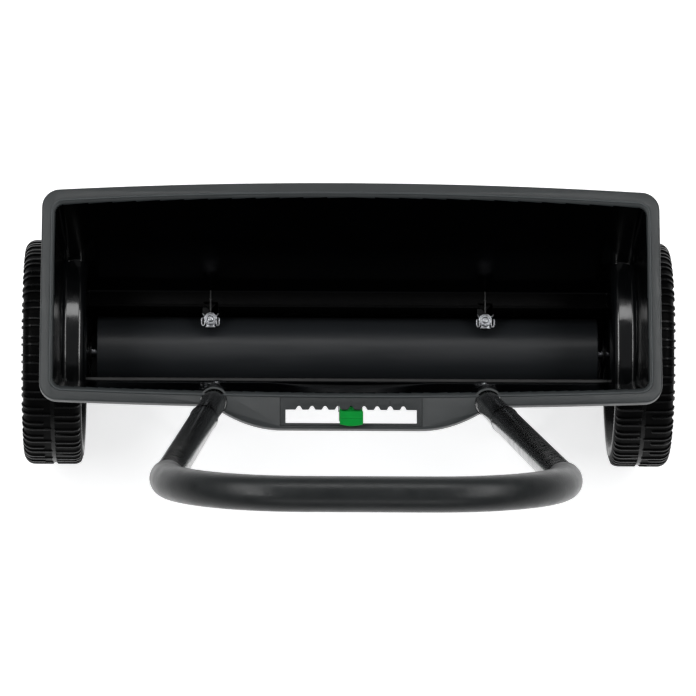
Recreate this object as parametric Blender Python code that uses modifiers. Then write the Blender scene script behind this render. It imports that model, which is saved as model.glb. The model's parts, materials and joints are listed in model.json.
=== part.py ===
"""Walk-behind drop spreader: an open hopper on two wheels with a feed roller in its floor, a sliding
shutter under the metering tray, a rate lever in a notched window and a U-shaped push handle.

Metres, +Z up, ground at Z = 0. +Y is the way it is pushed and +X is the operator's right.
"""

import math

import bmesh
import bpy
from mathutils import Matrix, Vector

# Whole object
AXLE_HEIGHT = 0.105          # wheel radius, so the tyres just touch the ground
AXLE_FORWARD = 0.1302        # axle line ahead of the middle of the footprint, which is the origin
RIM_TOP = 0.303

# Hopper rim, in the hopper's frame: its Y = 0 is straight above the axle
RIM_WIDTH = 0.560
RIM_DEPTH = 0.196
RIM_CORNER = 0.0165
FLANGE_WIDTH = 0.0122
FLANGE_THICKNESS = 0.003
LIP_HEIGHT = 0.009
LIP_THICKNESS = 0.002
FRONT_BOW = 0.0085
REAR_BOW = 0.0055
WALL = 0.0025

# Rear tab with the rate window
TAB_REAR = -0.1243
TAB_FLAT_HALF = 0.062
TAB_CURVE = 5.6              # how fast the tab's rear edge comes in past its flat, per metre
TAB_JOIN = 0.124

# Hopper walls
KNEE_TOP = 0.268             # the rear wall turns steeper below this height
LEDGE_TOP = 0.148
LEDGE_EDGE = 0.0340
FRONT_SLOPE = 0.23
KNEE_REAR = -0.0722
KNEE_SAG = 0.0054
KNEE_SAG_HALF = 0.0715
THROAT_REAR = -0.0412
SIDE_TOP_HALF = 0.268
SIDE_LOW_HALF = 0.262

# Wheel arches and roller housing
ARCH_RADIUS = 0.112
ARCH_FACE = 0.244
HOUSING_HALF = 0.0377        # outer half depth of the housing round the roller
CHAMBER_HALF = 0.0355
HOUSING_BOTTOM = 0.0945

# Feed roller and axle
ROLLER_RADIUS = 0.0335
ROLLER_WALL = 0.002
ROLLER_HALF = 0.234
AXLE_RADIUS = 0.00475
AXLE_HALF = 0.2915
AXLE_BORE = 0.0053

# Wheels
WHEEL_INNER_FACE = 0.2465
WHEEL_WIDTH = 0.0535
HUB_RADIUS = 0.0215
HUB_END = 0.040

# Metering tray and shutter
TRAY_TOP = 0.0942
TRAY_BOTTOM = 0.0630
TRAY_HALF = 0.2436
SLOT_COUNT = 12
SLOT_PITCH = 0.036
SLOT_LENGTH = 0.013
SLOT_DEPTH = 0.020
SHUTTER_TOP = 0.0622
SHUTTER_THICKNESS = 0.0015
SHUTTER_HALF = (0.222, 0.0245)
RAIL_TRAVEL_GAP = 0.0008

# Rate lever, in a frame that leans back with it: X, S across its thickness, A along it
LEVER_PIVOT = (0.0, -0.062, 0.118)
LEVER_LEAN = math.radians(15.27)
LEVER_THICKNESS = 0.0025
WINDOW_ALONG = 0.1918        # pivot to the plane of the rim
FORK_ARM = 0.030             # pivot to the shutter's pin
CAP_LOW = 0.2035             # thumb cap, clear of the rim at both ends of the travel
CAP_HIGH = 0.2080

# Rate scale
SCALE_HALF = 0.0635
SCALE_FRONT = -0.0950
SCALE_REAR = -0.1215
SCALE_THICKNESS = 0.0015
WINDOW_HALF = 0.0588
WINDOW_REAR = -0.1190
LAND_EDGE = -0.1065
NOTCH_DEPTH = 0.0035
NOTCH_COUNT = 9
NOTCH_PITCH = 0.0117
POCKET_GAP = 0.0003

# Handle, in a frame that leans back with it: X and L along the handle from the rim
HANDLE_REAR = -0.1008
HANDLE_LEAN = math.radians(20.2)
TUBE_SPACING_HALF = 0.1233
TUBE_SPLAY = 0.0502          # sideways per unit of length
HANDLE_LENGTH = 0.731        # rim to the middle of the crossbar
BEND_RADIUS = 0.1058
LOWER_TUBE_RADIUS = 0.0112
LOWER_TUBE_BORE = 0.0100
SPIGOT_RADIUS = 0.0104
SPIGOT_BORE = 0.0092
JOINT_AT = 0.150
SPIGOT_LENGTH = 0.050
LOWER_END = -0.066
UPPER_TUBE_RADIUS = 0.0121
UPPER_TUBE_WALL = 0.0009
GRIP_RADIUS = 0.01375
GRIP_WALL = 0.0011
SOCKET_RADIUS = 0.0121
SOCKET_WALL = 0.0018
BOLT_AT = -0.045
BOLT_RADIUS = 0.0025

# Stand legs
LEG_RADIUS = 0.0030
FOOT_XS = {"left": -0.1495, "right": 0.1680}
FOOT_BACK = -0.0575
FOOT_HEIGHT = 0.016
FOOT_RADIUS = 0.0062

# Seal strip and its clips on the front ledge
CLIP_HALF = 0.128
CLIP_FORWARD = 0.0201
STRIP_BOTTOM = 0.1484
STRIP_THICKNESS = 0.0014
LUG_RADIUS = 0.0075
SCREW_RADIUS = 0.0020
SCREW_HOLE = 0.0025

COLOURS = {
    "rim_plastic": ((0.040, 0.044, 0.046), 0.55, 0.0),
    "scale_plastic": ((0.046, 0.050, 0.052), 0.50, 0.0),
    "wheel_plastic": ((0.014, 0.014, 0.015), 0.45, 0.0),
    "roller_plastic": ((0.030, 0.032, 0.036), 0.40, 0.0),
    "green_plastic": ((0.010, 0.310, 0.070), 0.35, 0.0),
    "black_tube": ((0.022, 0.024, 0.025), 0.25, 0.2),
    "grip_vinyl": ((0.040, 0.043, 0.044), 0.50, 0.0),
    "zinc_steel": ((0.620, 0.630, 0.640), 0.28, 1.0),
    "rubber": ((0.018, 0.018, 0.018), 0.75, 0.0),
    "bush_nylon": ((0.120, 0.120, 0.115), 0.45, 0.0),
}


# ---------------------------------------------------------------- scene helpers


def clear_scene():
    for item in list(bpy.data.objects):
        bpy.data.objects.remove(item, do_unlink=True)


def new_collection(name):
    made = bpy.data.collections.new(name)
    bpy.context.scene.collection.children.link(made)
    return made


def make_material(name):
    colour, roughness, metallic = COLOURS[name]
    made = bpy.data.materials.new(name)
    made.use_nodes = True
    shader = made.node_tree.nodes["Principled BSDF"]
    shader.inputs["Base Color"].default_value = (*colour, 1.0)
    shader.inputs["Roughness"].default_value = roughness
    shader.inputs["Metallic"].default_value = metallic
    made.diffuse_color = (*colour, 1.0)
    return made


def place(item, parent, location=(0, 0, 0), rotation=(0, 0, 0)):
    item.parent = parent
    item.location = location
    item.rotation_euler = rotation
    return item


def add_part(name, mesh, material, parent, location=(0, 0, 0), rotation=(0, 0, 0), smooth=None):
    """One visible piece of the spreader, in its material."""
    item = bpy.data.objects.new(name, mesh)
    parts.objects.link(item)
    mesh.materials.clear()
    mesh.materials.append(materials[material])
    if smooth is not None:
        mesh.shade_smooth()
        mesh.set_sharp_from_angle(angle=math.radians(smooth))
    return place(item, parent, location, rotation)


def add_cutter(name, mesh, parent, location=(0, 0, 0), rotation=(0, 0, 0)):
    """A helper solid for Booleans, left out of the model itself."""
    item = bpy.data.objects.new(name, mesh)
    cutters.objects.link(item)
    item.hide_render = True
    item.display_type = "WIRE"
    return place(item, parent, location, rotation)


def boolean(target, tool, operation):
    modifier = target.modifiers.new(f"{operation.lower()} {tool.name}"[:60], "BOOLEAN")
    modifier.object = tool
    modifier.operation = operation
    modifier.solver = "EXACT"


def cut(target, *tools):
    for tool in tools:
        boolean(target, tool, "DIFFERENCE")


def join(target, *tools):
    for tool in tools:
        boolean(target, tool, "UNION")


def empty(name, parent, location, rotation=(0, 0, 0)):
    item = bpy.data.objects.new(name, None)
    parts.objects.link(item)
    return place(item, parent, location, rotation)


# ---------------------------------------------------------------- shapes


def finish_mesh(name, bm):
    bm.normal_update()
    bmesh.ops.recalc_face_normals(bm, faces=bm.faces)
    mesh = bpy.data.meshes.new(name)
    bm.to_mesh(mesh)
    bm.free()
    return mesh


def box(name, low, high):
    """A block between two corners."""
    bm = bmesh.new()
    size = Vector(high) - Vector(low)
    middle = (Vector(high) + Vector(low)) / 2
    matrix = Matrix.Translation(middle) @ Matrix.Diagonal((*size, 1.0))
    bmesh.ops.create_cube(bm, size=1.0, matrix=matrix)
    return finish_mesh(name, bm)


def boxes(name, corners):
    """Several separate blocks in one mesh, for a repeated cut."""
    bm = bmesh.new()
    for low, high in corners:
        size = Vector(high) - Vector(low)
        middle = (Vector(high) + Vector(low)) / 2
        matrix = Matrix.Translation(middle) @ Matrix.Diagonal((*size, 1.0))
        bmesh.ops.create_cube(bm, size=1.0, matrix=matrix)
    return finish_mesh(name, bm)


def rod(name, radius, start, end, segments=24):
    """A cylinder from one point to another."""
    start, end = Vector(start), Vector(end)
    bm = bmesh.new()
    bmesh.ops.create_cone(
        bm, cap_ends=True, segments=segments, radius1=radius, radius2=radius, depth=(end - start).length
    )
    turn = (end - start).to_track_quat("Z", "Y").to_matrix().to_4x4()
    bm.transform(Matrix.Translation((start + end) / 2) @ turn)
    return finish_mesh(name, bm)


def turned(name, profile, segments=32):
    """A closed outline of (radius, height) points turned about local Z with a Screw modifier."""
    doubled_area = sum(
        a[0] * b[1] - b[0] * a[1] for a, b in zip(profile, profile[1:] + profile[:1])
    )
    points = profile if doubled_area < 0 else profile[::-1]
    closed = min(radius for radius, _ in points) > 0
    if not closed:
        first = max(range(len(points)), key=lambda i: points[i][0] == 0 and points[i - 1][0] == 0)
        points = points[first:] + points[:first]
    bm = bmesh.new()
    verts = [bm.verts.new((radius, 0.0, height)) for radius, height in points]
    for a, b in zip(verts, verts[1:]):
        bm.edges.new((a, b))
    if closed:
        bm.edges.new((verts[-1], verts[0]))
    mesh = bpy.data.meshes.new(name)
    bm.to_mesh(mesh)
    bm.free()
    holder = bpy.data.objects.new(name + " profile", mesh)
    cutters.objects.link(holder)
    screw = holder.modifiers.new("turn", "SCREW")
    screw.steps = segments
    screw.render_steps = segments
    screw.use_merge_vertices = True
    screw.merge_threshold = 0.00001
    made = bpy.data.meshes.new_from_object(holder.evaluated_get(bpy.context.evaluated_depsgraph_get()))
    bpy.data.objects.remove(holder, do_unlink=True)
    bm = bmesh.new()
    bm.from_mesh(made)
    bmesh.ops.remove_doubles(bm, verts=bm.verts, dist=0.000005)
    return finish_mesh(name, bm)


def plate(name, outlines, low, high):
    """A flat sheet between two heights from a 2D outline and any hole outlines."""
    curve = bpy.data.curves.new(name, "CURVE")
    curve.dimensions = "2D"
    curve.fill_mode = "BOTH"
    curve.extrude = (high - low) / 2
    for outline in outlines:
        spline = curve.splines.new("POLY")
        spline.points.add(len(outline) - 1)
        for point, (x, y) in zip(spline.points, outline):
            point.co = (x, y, 0.0, 1.0)
        spline.use_cyclic_u = True
    return mesh_of_curve(name, curve, (low + high) / 2)


def tube_mesh(name, points, radius, sides_level, caps=True, thickness=0.0):
    """A round bar along points, or a tube with open ends when it is given a wall thickness."""
    curve = bpy.data.curves.new(name, "CURVE")
    curve.dimensions = "3D"
    curve.bevel_depth = radius
    curve.bevel_resolution = sides_level
    curve.use_fill_caps = caps
    spline = curve.splines.new("POLY")
    spline.points.add(len(points) - 1)
    for point, co in zip(spline.points, points):
        point.co = (*co, 1.0)
    return mesh_of_curve(name, curve, 0.0, thickness)


def mesh_of_curve(name, curve, lift, thickness=0.0):
    holder = bpy.data.objects.new(name + " curve", curve)
    cutters.objects.link(holder)
    if thickness:
        solidify = holder.modifiers.new("wall", "SOLIDIFY")
        solidify.thickness = thickness
        solidify.offset = -1.0
    made = bpy.data.meshes.new_from_object(holder.evaluated_get(bpy.context.evaluated_depsgraph_get()))
    bpy.data.objects.remove(holder, do_unlink=True)
    bm = bmesh.new()
    bm.from_mesh(made)
    bmesh.ops.remove_doubles(bm, verts=bm.verts, dist=0.000005)
    bm.transform(Matrix.Translation((0.0, 0.0, lift)))
    return finish_mesh(name, bm)


def loft(name, rings):
    """A solid through rings of equally many points, closed at both ends."""
    bm = bmesh.new()
    levels = [[bm.verts.new(point) for point in ring] for ring in rings]
    count = len(rings[0])
    for lower, upper in zip(levels, levels[1:]):
        for i in range(count):
            j = (i + 1) % count
            bm.faces.new((lower[i], lower[j], upper[j], upper[i]))
    bmesh.ops.triangulate(bm, faces=bm.faces)
    bm.faces.new(levels[0][::-1])
    bm.faces.new(levels[-1])
    return finish_mesh(name, bm)


def arc(centre, radius, start, end, steps):
    """Points along an arc, angles in degrees."""
    return [
        (
            centre[0] + radius * math.cos(math.radians(start + (end - start) * i / steps)),
            centre[1] + radius * math.sin(math.radians(start + (end - start) * i / steps)),
        )
        for i in range(steps + 1)
    ]


# ---------------------------------------------------------------- hopper outlines


def bowed_outline(half_width, front, rear, corner, front_xs, rear_xs, corner_steps=4):
    """Anticlockwise outline with rounded corners. front(x) and rear(x) give the two long edges."""
    edge = half_width - corner
    right_front = arc((edge, front(edge) - corner), corner, 0, 90, corner_steps)
    left_front = arc((-edge, front(edge) - corner), corner, 90, 180, corner_steps)
    left_rear = arc((-edge, rear(edge) + corner), corner, 180, 270, corner_steps)
    right_rear = arc((edge, rear(edge) + corner), corner, 270, 360, corner_steps)
    front_run = [(x, front(x)) for x in sorted(front_xs, reverse=True)]
    rear_run = [(x, rear(x)) for x in sorted(rear_xs)]
    return right_front + front_run + left_front + left_rear + rear_run + right_rear


def bow(x, half, depth):
    return depth * (1.0 - (x / half) ** 2)


def mirrored(values):
    return sorted({-v for v in values} | set(values))


def rim_front(x):
    return RIM_DEPTH / 2 + bow(x, RIM_WIDTH / 2, FRONT_BOW)


def rim_rear(x):
    """Rear edge of the flange with its tab."""
    edge = -RIM_DEPTH / 2 - bow(x, RIM_WIDTH / 2, REAR_BOW)
    if abs(x) >= TAB_JOIN:
        return edge
    past = max(0.0, abs(x) - TAB_FLAT_HALF)
    return min(edge, TAB_REAR + TAB_CURVE * past * past)


def rim_outline(inset):
    """Outer outline of the flange, moved in by inset."""
    return bowed_outline(
        RIM_WIDTH / 2 - inset,
        lambda x: rim_front(x) - inset,
        lambda x: rim_rear(x) + inset,
        RIM_CORNER - inset,
        mirrored([0.0, 0.065, 0.13, 0.195]),
        mirrored([TAB_FLAT_HALF, 0.080, 0.100, TAB_JOIN, 0.190]),
    )


def cavity_front(z):
    """Inner face of the front wall at the middle of its bow's ends, and how much it bows."""
    drop = RIM_TOP - z
    base = RIM_DEPTH / 2 - FLANGE_WIDTH - 0.001 - FRONT_SLOPE * drop
    return base, FRONT_BOW * (z - LEDGE_TOP) / (RIM_TOP - LEDGE_TOP)


def cavity_rear(z):
    """Inner face of the rear wall, its bow and its middle sag."""
    rim_rear_inner = -RIM_DEPTH / 2 + FLANGE_WIDTH
    if z >= KNEE_TOP:
        share = (z - KNEE_TOP) / (RIM_TOP - KNEE_TOP)
        base = KNEE_REAR + (rim_rear_inner - KNEE_REAR) * share
        return base, REAR_BOW * share, KNEE_SAG * (1.0 - share)
    share = (z - LEDGE_TOP) / (KNEE_TOP - LEDGE_TOP)
    return THROAT_REAR + (KNEE_REAR - THROAT_REAR) * share, 0.0, KNEE_SAG * share


def cavity_half(z):
    share = min(1.0, max(0.0, (z - 0.200) / (RIM_TOP - 0.200)))
    return SIDE_LOW_HALF + (SIDE_TOP_HALF - SIDE_LOW_HALF) * share


def wall_ring(z, offset):
    """The hopper wall's outline at one height, moved out by offset from the inner face."""
    half = cavity_half(z)
    front_base, front_bow = cavity_front(z)
    rear_base, rear_bow, sag = cavity_rear(z)

    def front(x):
        return front_base + bow(x, half, front_bow) + offset

    def rear(x):
        middle = max(0.0, 1.0 - (x / KNEE_SAG_HALF) ** 2)
        return rear_base - bow(x, half, rear_bow) - sag * middle - offset

    outline = bowed_outline(
        half + offset,
        front,
        rear,
        0.008 + offset,
        mirrored([0.0, 0.065, 0.13, 0.195]),
        mirrored([0.0, 0.022, 0.046, KNEE_SAG_HALF, 0.16]),
        3,
    )
    return [(x, y, z) for x, y in outline]


def tube_axis(along, side=1.0):
    """A point on a handle tube's axis, in the hopper's frame."""
    return (
        side * (TUBE_SPACING_HALF + TUBE_SPLAY * along),
        HANDLE_REAR - math.sin(HANDLE_LEAN) * along,
        RIM_TOP + math.cos(HANDLE_LEAN) * along,
    )


# ---------------------------------------------------------------- hopper


def build_hopper(root):
    walls = loft("hopper", [wall_ring(z, WALL) for z in (0.1445, 0.200, KNEE_TOP, 0.3015)])
    hopper = add_part("hopper", walls, "rim_plastic", root, smooth=30)

    flange = plate("flange", [rim_outline(0.0)], RIM_TOP - FLANGE_THICKNESS, RIM_TOP)
    lip_outlines = [rim_outline(0.0004), rim_outline(LIP_THICKNESS)]
    lip = plate("lip", lip_outlines, RIM_TOP - LIP_HEIGHT, RIM_TOP - FLANGE_THICKNESS / 2)
    past_arch = ARCH_FACE + 0.005
    housing_low = (-past_arch, -HOUSING_HALF, HOUSING_BOTTOM)
    housing = box("housing", housing_low, (past_arch, HOUSING_HALF, 0.1475))
    front_lip = box("housing_lip", (-0.236, 0.030, HOUSING_BOTTOM), (0.236, 0.0500, 0.0975))
    join(
        hopper,
        add_cutter("join_flange", flange, root),
        add_cutter("join_lip", lip, root),
        add_cutter("join_housing", housing, root),
        add_cutter("join_housing_lip", front_lip, root),
        add_cutter("join_lever_boss", lever_boss(), lever_pivot),
    )
    cut(hopper, *outside_cuts(root), cavity(root), *roller_chamber(root))
    for side, word in ((-1.0, "left"), (1.0, "right")):
        join(hopper, *ledge_lug(root, side, word))
        cut(hopper, lug_hole(root, side, word))
    cut(hopper, *window_cuts(root))
    cut(hopper, add_cutter("cut_lever_pin", rod("p", 0.0044, (0, 0.0005, 0), (0, 0.0182, 0), 20), lever_pivot))
    for index, x in enumerate(TRAY_SCREW_XS):
        hole = rod("h", SCREW_HOLE, (x, TRAY_SCREW_Y, 0.090), (x, TRAY_SCREW_Y, 0.100), 12)
        cut(hopper, add_cutter(f"cut_tray_screw_{index + 1}", hole, root))
    bore = rod("b", 0.0088, (-0.26, 0, AXLE_HEIGHT), (0.26, 0, AXLE_HEIGHT), 20)
    cut(hopper, add_cutter("cut_bush_seats", bore, root))
    return hopper


def lever_boss():
    """Stud behind the housing that carries the rate lever's pin, in the lever's frame."""
    return rod("lever_boss", 0.0070, (0, 0.0017, 0), (0, 0.0290, 0), 20)


def outside_cuts(root):
    """Room outside the hopper for the wheels and the handle tubes."""
    found = []
    for side, word in ((-1.0, "left"), (1.0, "right")):
        start = (side * ARCH_FACE, 0, AXLE_HEIGHT)
        arch = rod("arch", ARCH_RADIUS, start, (side * 0.30, 0, AXLE_HEIGHT), 40)
        found.append(add_cutter(f"cut_{word}_arch", arch, root))
        tube = rod("tube", SOCKET_RADIUS, tube_axis(LOWER_END - 0.009, side), tube_axis(0.060, side), 20)
        found.append(add_cutter(f"cut_{word}_tube", tube, root))
        middle = Vector(tube_axis(BOLT_AT, side))
        hole = rod("bolt", 0.0029, middle, middle + HANDLE_FORWARD * 0.0153, 12)
        found.append(add_cutter(f"cut_{word}_bolt", hole, root))
    return found


def cavity(root):
    """The space inside the hopper: its body, the throat and the roller's chamber."""
    body = loft("cavity", [wall_ring(z, 0.0) for z in (LEDGE_TOP, 0.200, KNEE_TOP, RIM_TOP, 0.311)])
    inside = add_cutter("cut_cavity", body, root)
    for side, word in ((-1.0, "left"), (1.0, "right")):
        start = (side * (ARCH_FACE - WALL), 0, AXLE_HEIGHT)
        arch = rod("arch", ARCH_RADIUS + WALL, start, (side * 0.30, 0, AXLE_HEIGHT), 40)
        wall_radius = SOCKET_RADIUS + SOCKET_WALL
        socket = rod("socket", wall_radius, tube_axis(LOWER_END - 0.012, side), tube_axis(0.040, side), 20)
        cut(inside, add_cutter(f"keep_{word}_arch", arch, root), add_cutter(f"keep_{word}_socket", socket, root))
    return inside


def roller_chamber(root):
    """Cuts for the roller's chamber, the throat above it and the open bottom below it."""
    end = ARCH_FACE - WALL
    chamber = rod("chamber", CHAMBER_HALF + 0.0006, (-end, 0, AXLE_HEIGHT), (end, 0, AXLE_HEIGHT), 32)
    throat_low = (0.0001 - end, -CHAMBER_HALF, AXLE_HEIGHT)
    throat = box("throat", throat_low, (end - 0.0001, LEDGE_EDGE, LEDGE_TOP + 0.001))
    below_low = (0.0002 - end, -CHAMBER_HALF + 0.0001, HOUSING_BOTTOM - 0.01)
    below = box("below", below_low, (end - 0.0002, CHAMBER_HALF - 0.0001, AXLE_HEIGHT + 0.002))
    return (
        add_cutter("cut_chamber", chamber, root),
        add_cutter("cut_throat", throat, root),
        add_cutter("cut_below", below, root),
    )


def ledge_lug(root, side, word):
    """Round lug under each clip, on a block that runs back from the ledge."""
    x = side * CLIP_HALF
    lug = rod("lug", LUG_RADIUS, (x, CLIP_FORWARD, 0.1435), (x, CLIP_FORWARD, LEDGE_TOP), 20)
    root_block = box("lug_root", (x - 0.0074, CLIP_FORWARD, 0.1435), (x + 0.0074, 0.0415, LEDGE_TOP - 0.00015))
    return (
        add_cutter(f"join_{word}_lug", lug, root),
        add_cutter(f"join_{word}_lug_root", root_block, root),
    )


def lug_hole(root, side, word):
    x = side * CLIP_HALF
    hole = rod("hole", SCREW_HOLE, (x, CLIP_FORWARD, 0.1390), (x, CLIP_FORWARD, 0.1500), 12)
    return add_cutter(f"cut_{word}_lug_hole", hole, root)


def window_cuts(root):
    """Pocket for the rate scale and the opening under it."""
    pocket = box(
        "pocket",
        (-SCALE_HALF - POCKET_GAP, SCALE_REAR - POCKET_GAP, RIM_TOP - SCALE_THICKNESS - 0.0005),
        (SCALE_HALF + POCKET_GAP, SCALE_FRONT + POCKET_GAP, RIM_TOP + 0.005),
    )
    opening = box("opening", (-0.0605, -0.1199, RIM_TOP - 0.012), (0.0605, -0.1008, RIM_TOP + 0.005))
    return add_cutter("cut_pocket", pocket, root), add_cutter("cut_window", opening, root)


def build_scale_plate(root):
    """Flush plate round the window: nine notches along its front edge hold the knob's tooth."""
    outer = [
        (-SCALE_HALF, SCALE_REAR),
        (SCALE_HALF, SCALE_REAR),
        (SCALE_HALF, SCALE_FRONT),
        (-SCALE_HALF, SCALE_FRONT),
    ]
    notch_top_half, flare = 0.0012, 0.0020
    inner = [(-WINDOW_HALF, WINDOW_REAR), (WINDOW_HALF, WINDOW_REAR), (WINDOW_HALF, LAND_EDGE)]
    for index in reversed(range(NOTCH_COUNT)):
        x = (index - (NOTCH_COUNT - 1) / 2) * NOTCH_PITCH
        top = LAND_EDGE + NOTCH_DEPTH
        inner += [
            (x + notch_top_half + flare, LAND_EDGE),
            (x + notch_top_half + 0.0003, top - 0.0008),
            (x + notch_top_half - 0.0006, top),
            (x - notch_top_half + 0.0006, top),
            (x - notch_top_half - 0.0003, top - 0.0008),
            (x - notch_top_half - flare, LAND_EDGE),
        ]
    inner.append((-WINDOW_HALF, LAND_EDGE))
    top = RIM_TOP - 0.0002
    sheet = plate("scale_plate", [outer, inner], top - SCALE_THICKNESS, top)
    add_part("scale_plate", sheet, "scale_plastic", root)


# ---------------------------------------------------------------- metering tray and shutter

TRAY_SCREW_XS = (-0.190, -0.065, 0.065, 0.190)
TRAY_SCREW_Y = 0.0442


def prism_along_x(name, section, low_x, high_x):
    """A block of constant (y, z) section."""
    return loft(name, [[(low_x, y, z) for y, z in section], [(high_x, y, z) for y, z in section]])


def trough_section(half, shoulder, bottom_half, bottom, top):
    return [(-half, top), (-half, shoulder), (-bottom_half, bottom), (bottom_half, bottom), (half, shoulder), (half, top)]


def slot_boxes(name, bottom, top, shift=0.0):
    corners = []
    for index in range(SLOT_COUNT):
        x = (index - (SLOT_COUNT - 1) / 2) * SLOT_PITCH + shift
        corners.append(
            ((x - SLOT_LENGTH / 2, -SLOT_DEPTH / 2, bottom), (x + SLOT_LENGTH / 2, SLOT_DEPTH / 2, top))
        )
    return boxes(name, corners)


def build_metering_tray(root):
    """Trough under the roller with a row of metering slots and a front lip for its screws."""
    outside = trough_section(HOUSING_HALF, 0.0910, 0.0295, TRAY_BOTTOM, TRAY_TOP)
    inside = trough_section(CHAMBER_HALF, 0.0918, 0.0280, TRAY_BOTTOM + 0.0022, TRAY_TOP + 0.004)
    tray = add_part(
        "metering_tray", prism_along_x("metering_tray", outside, -TRAY_HALF, TRAY_HALF), "rim_plastic", root
    )
    lip = box("tray_lip", (-0.236, 0.0366, 0.0916), (0.236, 0.0500, TRAY_TOP))
    hollow = prism_along_x("tray_hollow", inside, -TRAY_HALF + 0.0023, TRAY_HALF - 0.0023)
    join(tray, add_cutter("join_tray_lip", lip, root))
    cut(tray, add_cutter("cut_tray_hollow", hollow, root))
    cut(tray, add_cutter("cut_tray_slots", slot_boxes("tray_slots", 0.055, 0.075), root))
    for index, x in enumerate(TRAY_SCREW_XS):
        hole = rod("h", SCREW_HOLE, (x, TRAY_SCREW_Y, 0.085), (x, TRAY_SCREW_Y, 0.098), 12)
        cut(tray, add_cutter(f"cut_tray_lip_{index + 1}", hole, root))


def build_tray_screws(root):
    for index, x in enumerate(TRAY_SCREW_XS):
        screw = turned(f"tray_screw_{index + 1}", screw_profile(0.0040, 0.0024, 0.0090), 12)
        spot = (x, TRAY_SCREW_Y, 0.0912)
        add_part(f"tray_screw_{index + 1}", screw, "zinc_steel", root, spot, (math.pi, 0, 0), smooth=40)


def screw_profile(head_radius, head_height, shaft_length):
    """Screw with its head above local Z = 0 and its shaft below."""
    return [
        (0.0, head_height),
        (head_radius * 0.72, head_height),
        (head_radius, head_height * 0.45),
        (head_radius, 0.0),
        (SCREW_RADIUS, 0.0),
        (SCREW_RADIUS, -shaft_length),
        (0.0, -shaft_length),
    ]


def build_shutter(root):
    """Perforated plate that slides under the tray, with an upturned tongue and the fork's pin."""
    half_x, half_y = SHUTTER_HALF
    low_z = SHUTTER_TOP - SHUTTER_THICKNESS
    blade = box("shutter_plate", (-half_x, -half_y, low_z), (half_x, half_y, SHUTTER_TOP))
    shutter = add_part("shutter_plate", blade, "zinc_steel", root)
    tongue = box("tongue", (-0.0075, -0.0455, low_z - 0.0001), (0.0075, -half_y + 0.004, SHUTTER_TOP + 0.0001))
    upstand = box("upstand", (-0.0070, -0.0455, low_z + 0.0002), (0.0070, -0.0440, 0.0965))
    pin = rod("pin", 0.0020, (0, -0.0032, -FORK_ARM), (0, 0.0103, -FORK_ARM), 16)
    cut(shutter, add_cutter("cut_shutter_slots", slot_boxes("shutter_slots", 0.055, 0.066, 0.0065), root))
    join(
        shutter,
        add_cutter("join_tongue", tongue, root),
        add_cutter("join_upstand", upstand, root),
        add_cutter("join_fork_pin", pin, lever_pivot),
    )


def build_shutter_rails(root):
    """Two L-shaped rails under the tray that the shutter slides in."""
    for name, sign in (("front_shutter_rail", 1.0), ("rear_shutter_rail", -1.0)):
        inner, outer, foot = 0.0251, 0.0285, 0.0215
        section = [
            (sign * inner, TRAY_BOTTOM - 0.0003),
            (sign * inner, 0.0602),
            (sign * foot, 0.0602),
            (sign * foot, 0.0587),
            (sign * outer, 0.0587),
            (sign * outer, TRAY_BOTTOM - 0.0003),
        ]
        rail = add_part(name, prism_along_x(name, section, -0.228, 0.228), "zinc_steel", root)
        if sign < 0:
            gap = box("gap", (-0.020, -0.040, 0.0595), (0.020, -0.0240, 0.0640))
            cut(rail, add_cutter("cut_tongue_gap", gap, root))


# ---------------------------------------------------------------- rate lever


def build_rate_lever():
    """Flat steel lever, forked below its pivot, with the green knob on its top."""
    fork_half, slot_half, body_half, tip_half = 0.0062, 0.0026, 0.0074, 0.0058
    outline = [
        (-fork_half, -0.0360),
        (-slot_half, -0.0360),
        *[(x, y) for x, y in arc((0.0, -0.0235), slot_half, 180, 0, 6)],
        (slot_half, -0.0360),
        (fork_half, -0.0360),
        (fork_half, -0.0120),
        (body_half, -0.0050),
        (body_half, 0.0060),
        (tip_half, 0.0300),
        (tip_half, 0.1740),
        (-tip_half, 0.1740),
        (-tip_half, 0.0300),
        (-body_half, 0.0060),
        (-body_half, -0.0050),
        (-fork_half, -0.0120),
    ]
    hole = arc((0.0, 0.0), 0.0045, 0, 340, 17)
    sheet = plate("rate_lever", [outline, hole], -LEVER_THICKNESS / 2, LEVER_THICKNESS / 2)
    sheet.transform(Matrix.Rotation(math.radians(90), 4, "X"))
    add_part("rate_lever", sheet, "zinc_steel", lever_pivot)

    washer = turned("lever_washer", [(0.0043, 0.0), (0.0070, 0.0), (0.0070, 0.0010), (0.0043, 0.0010)], 20)
    add_part("lever_washer", washer, "zinc_steel", lever_pivot, (0, -0.0016, 0), (math.pi / 2, 0, 0), smooth=40)
    profile = [
        (0.0, 0.0026),
        (0.0044, 0.0026),
        (0.0063, 0.0012),
        (0.0063, 0.0),
        (0.0040, 0.0),
        (0.0040, -0.0200),
        (0.0, -0.0200),
    ]
    pin = turned("lever_pin", profile, 20)
    add_part("lever_pin", pin, "zinc_steel", lever_pivot, (0, -0.0029, 0), (math.pi / 2, 0, 0), smooth=40)


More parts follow.
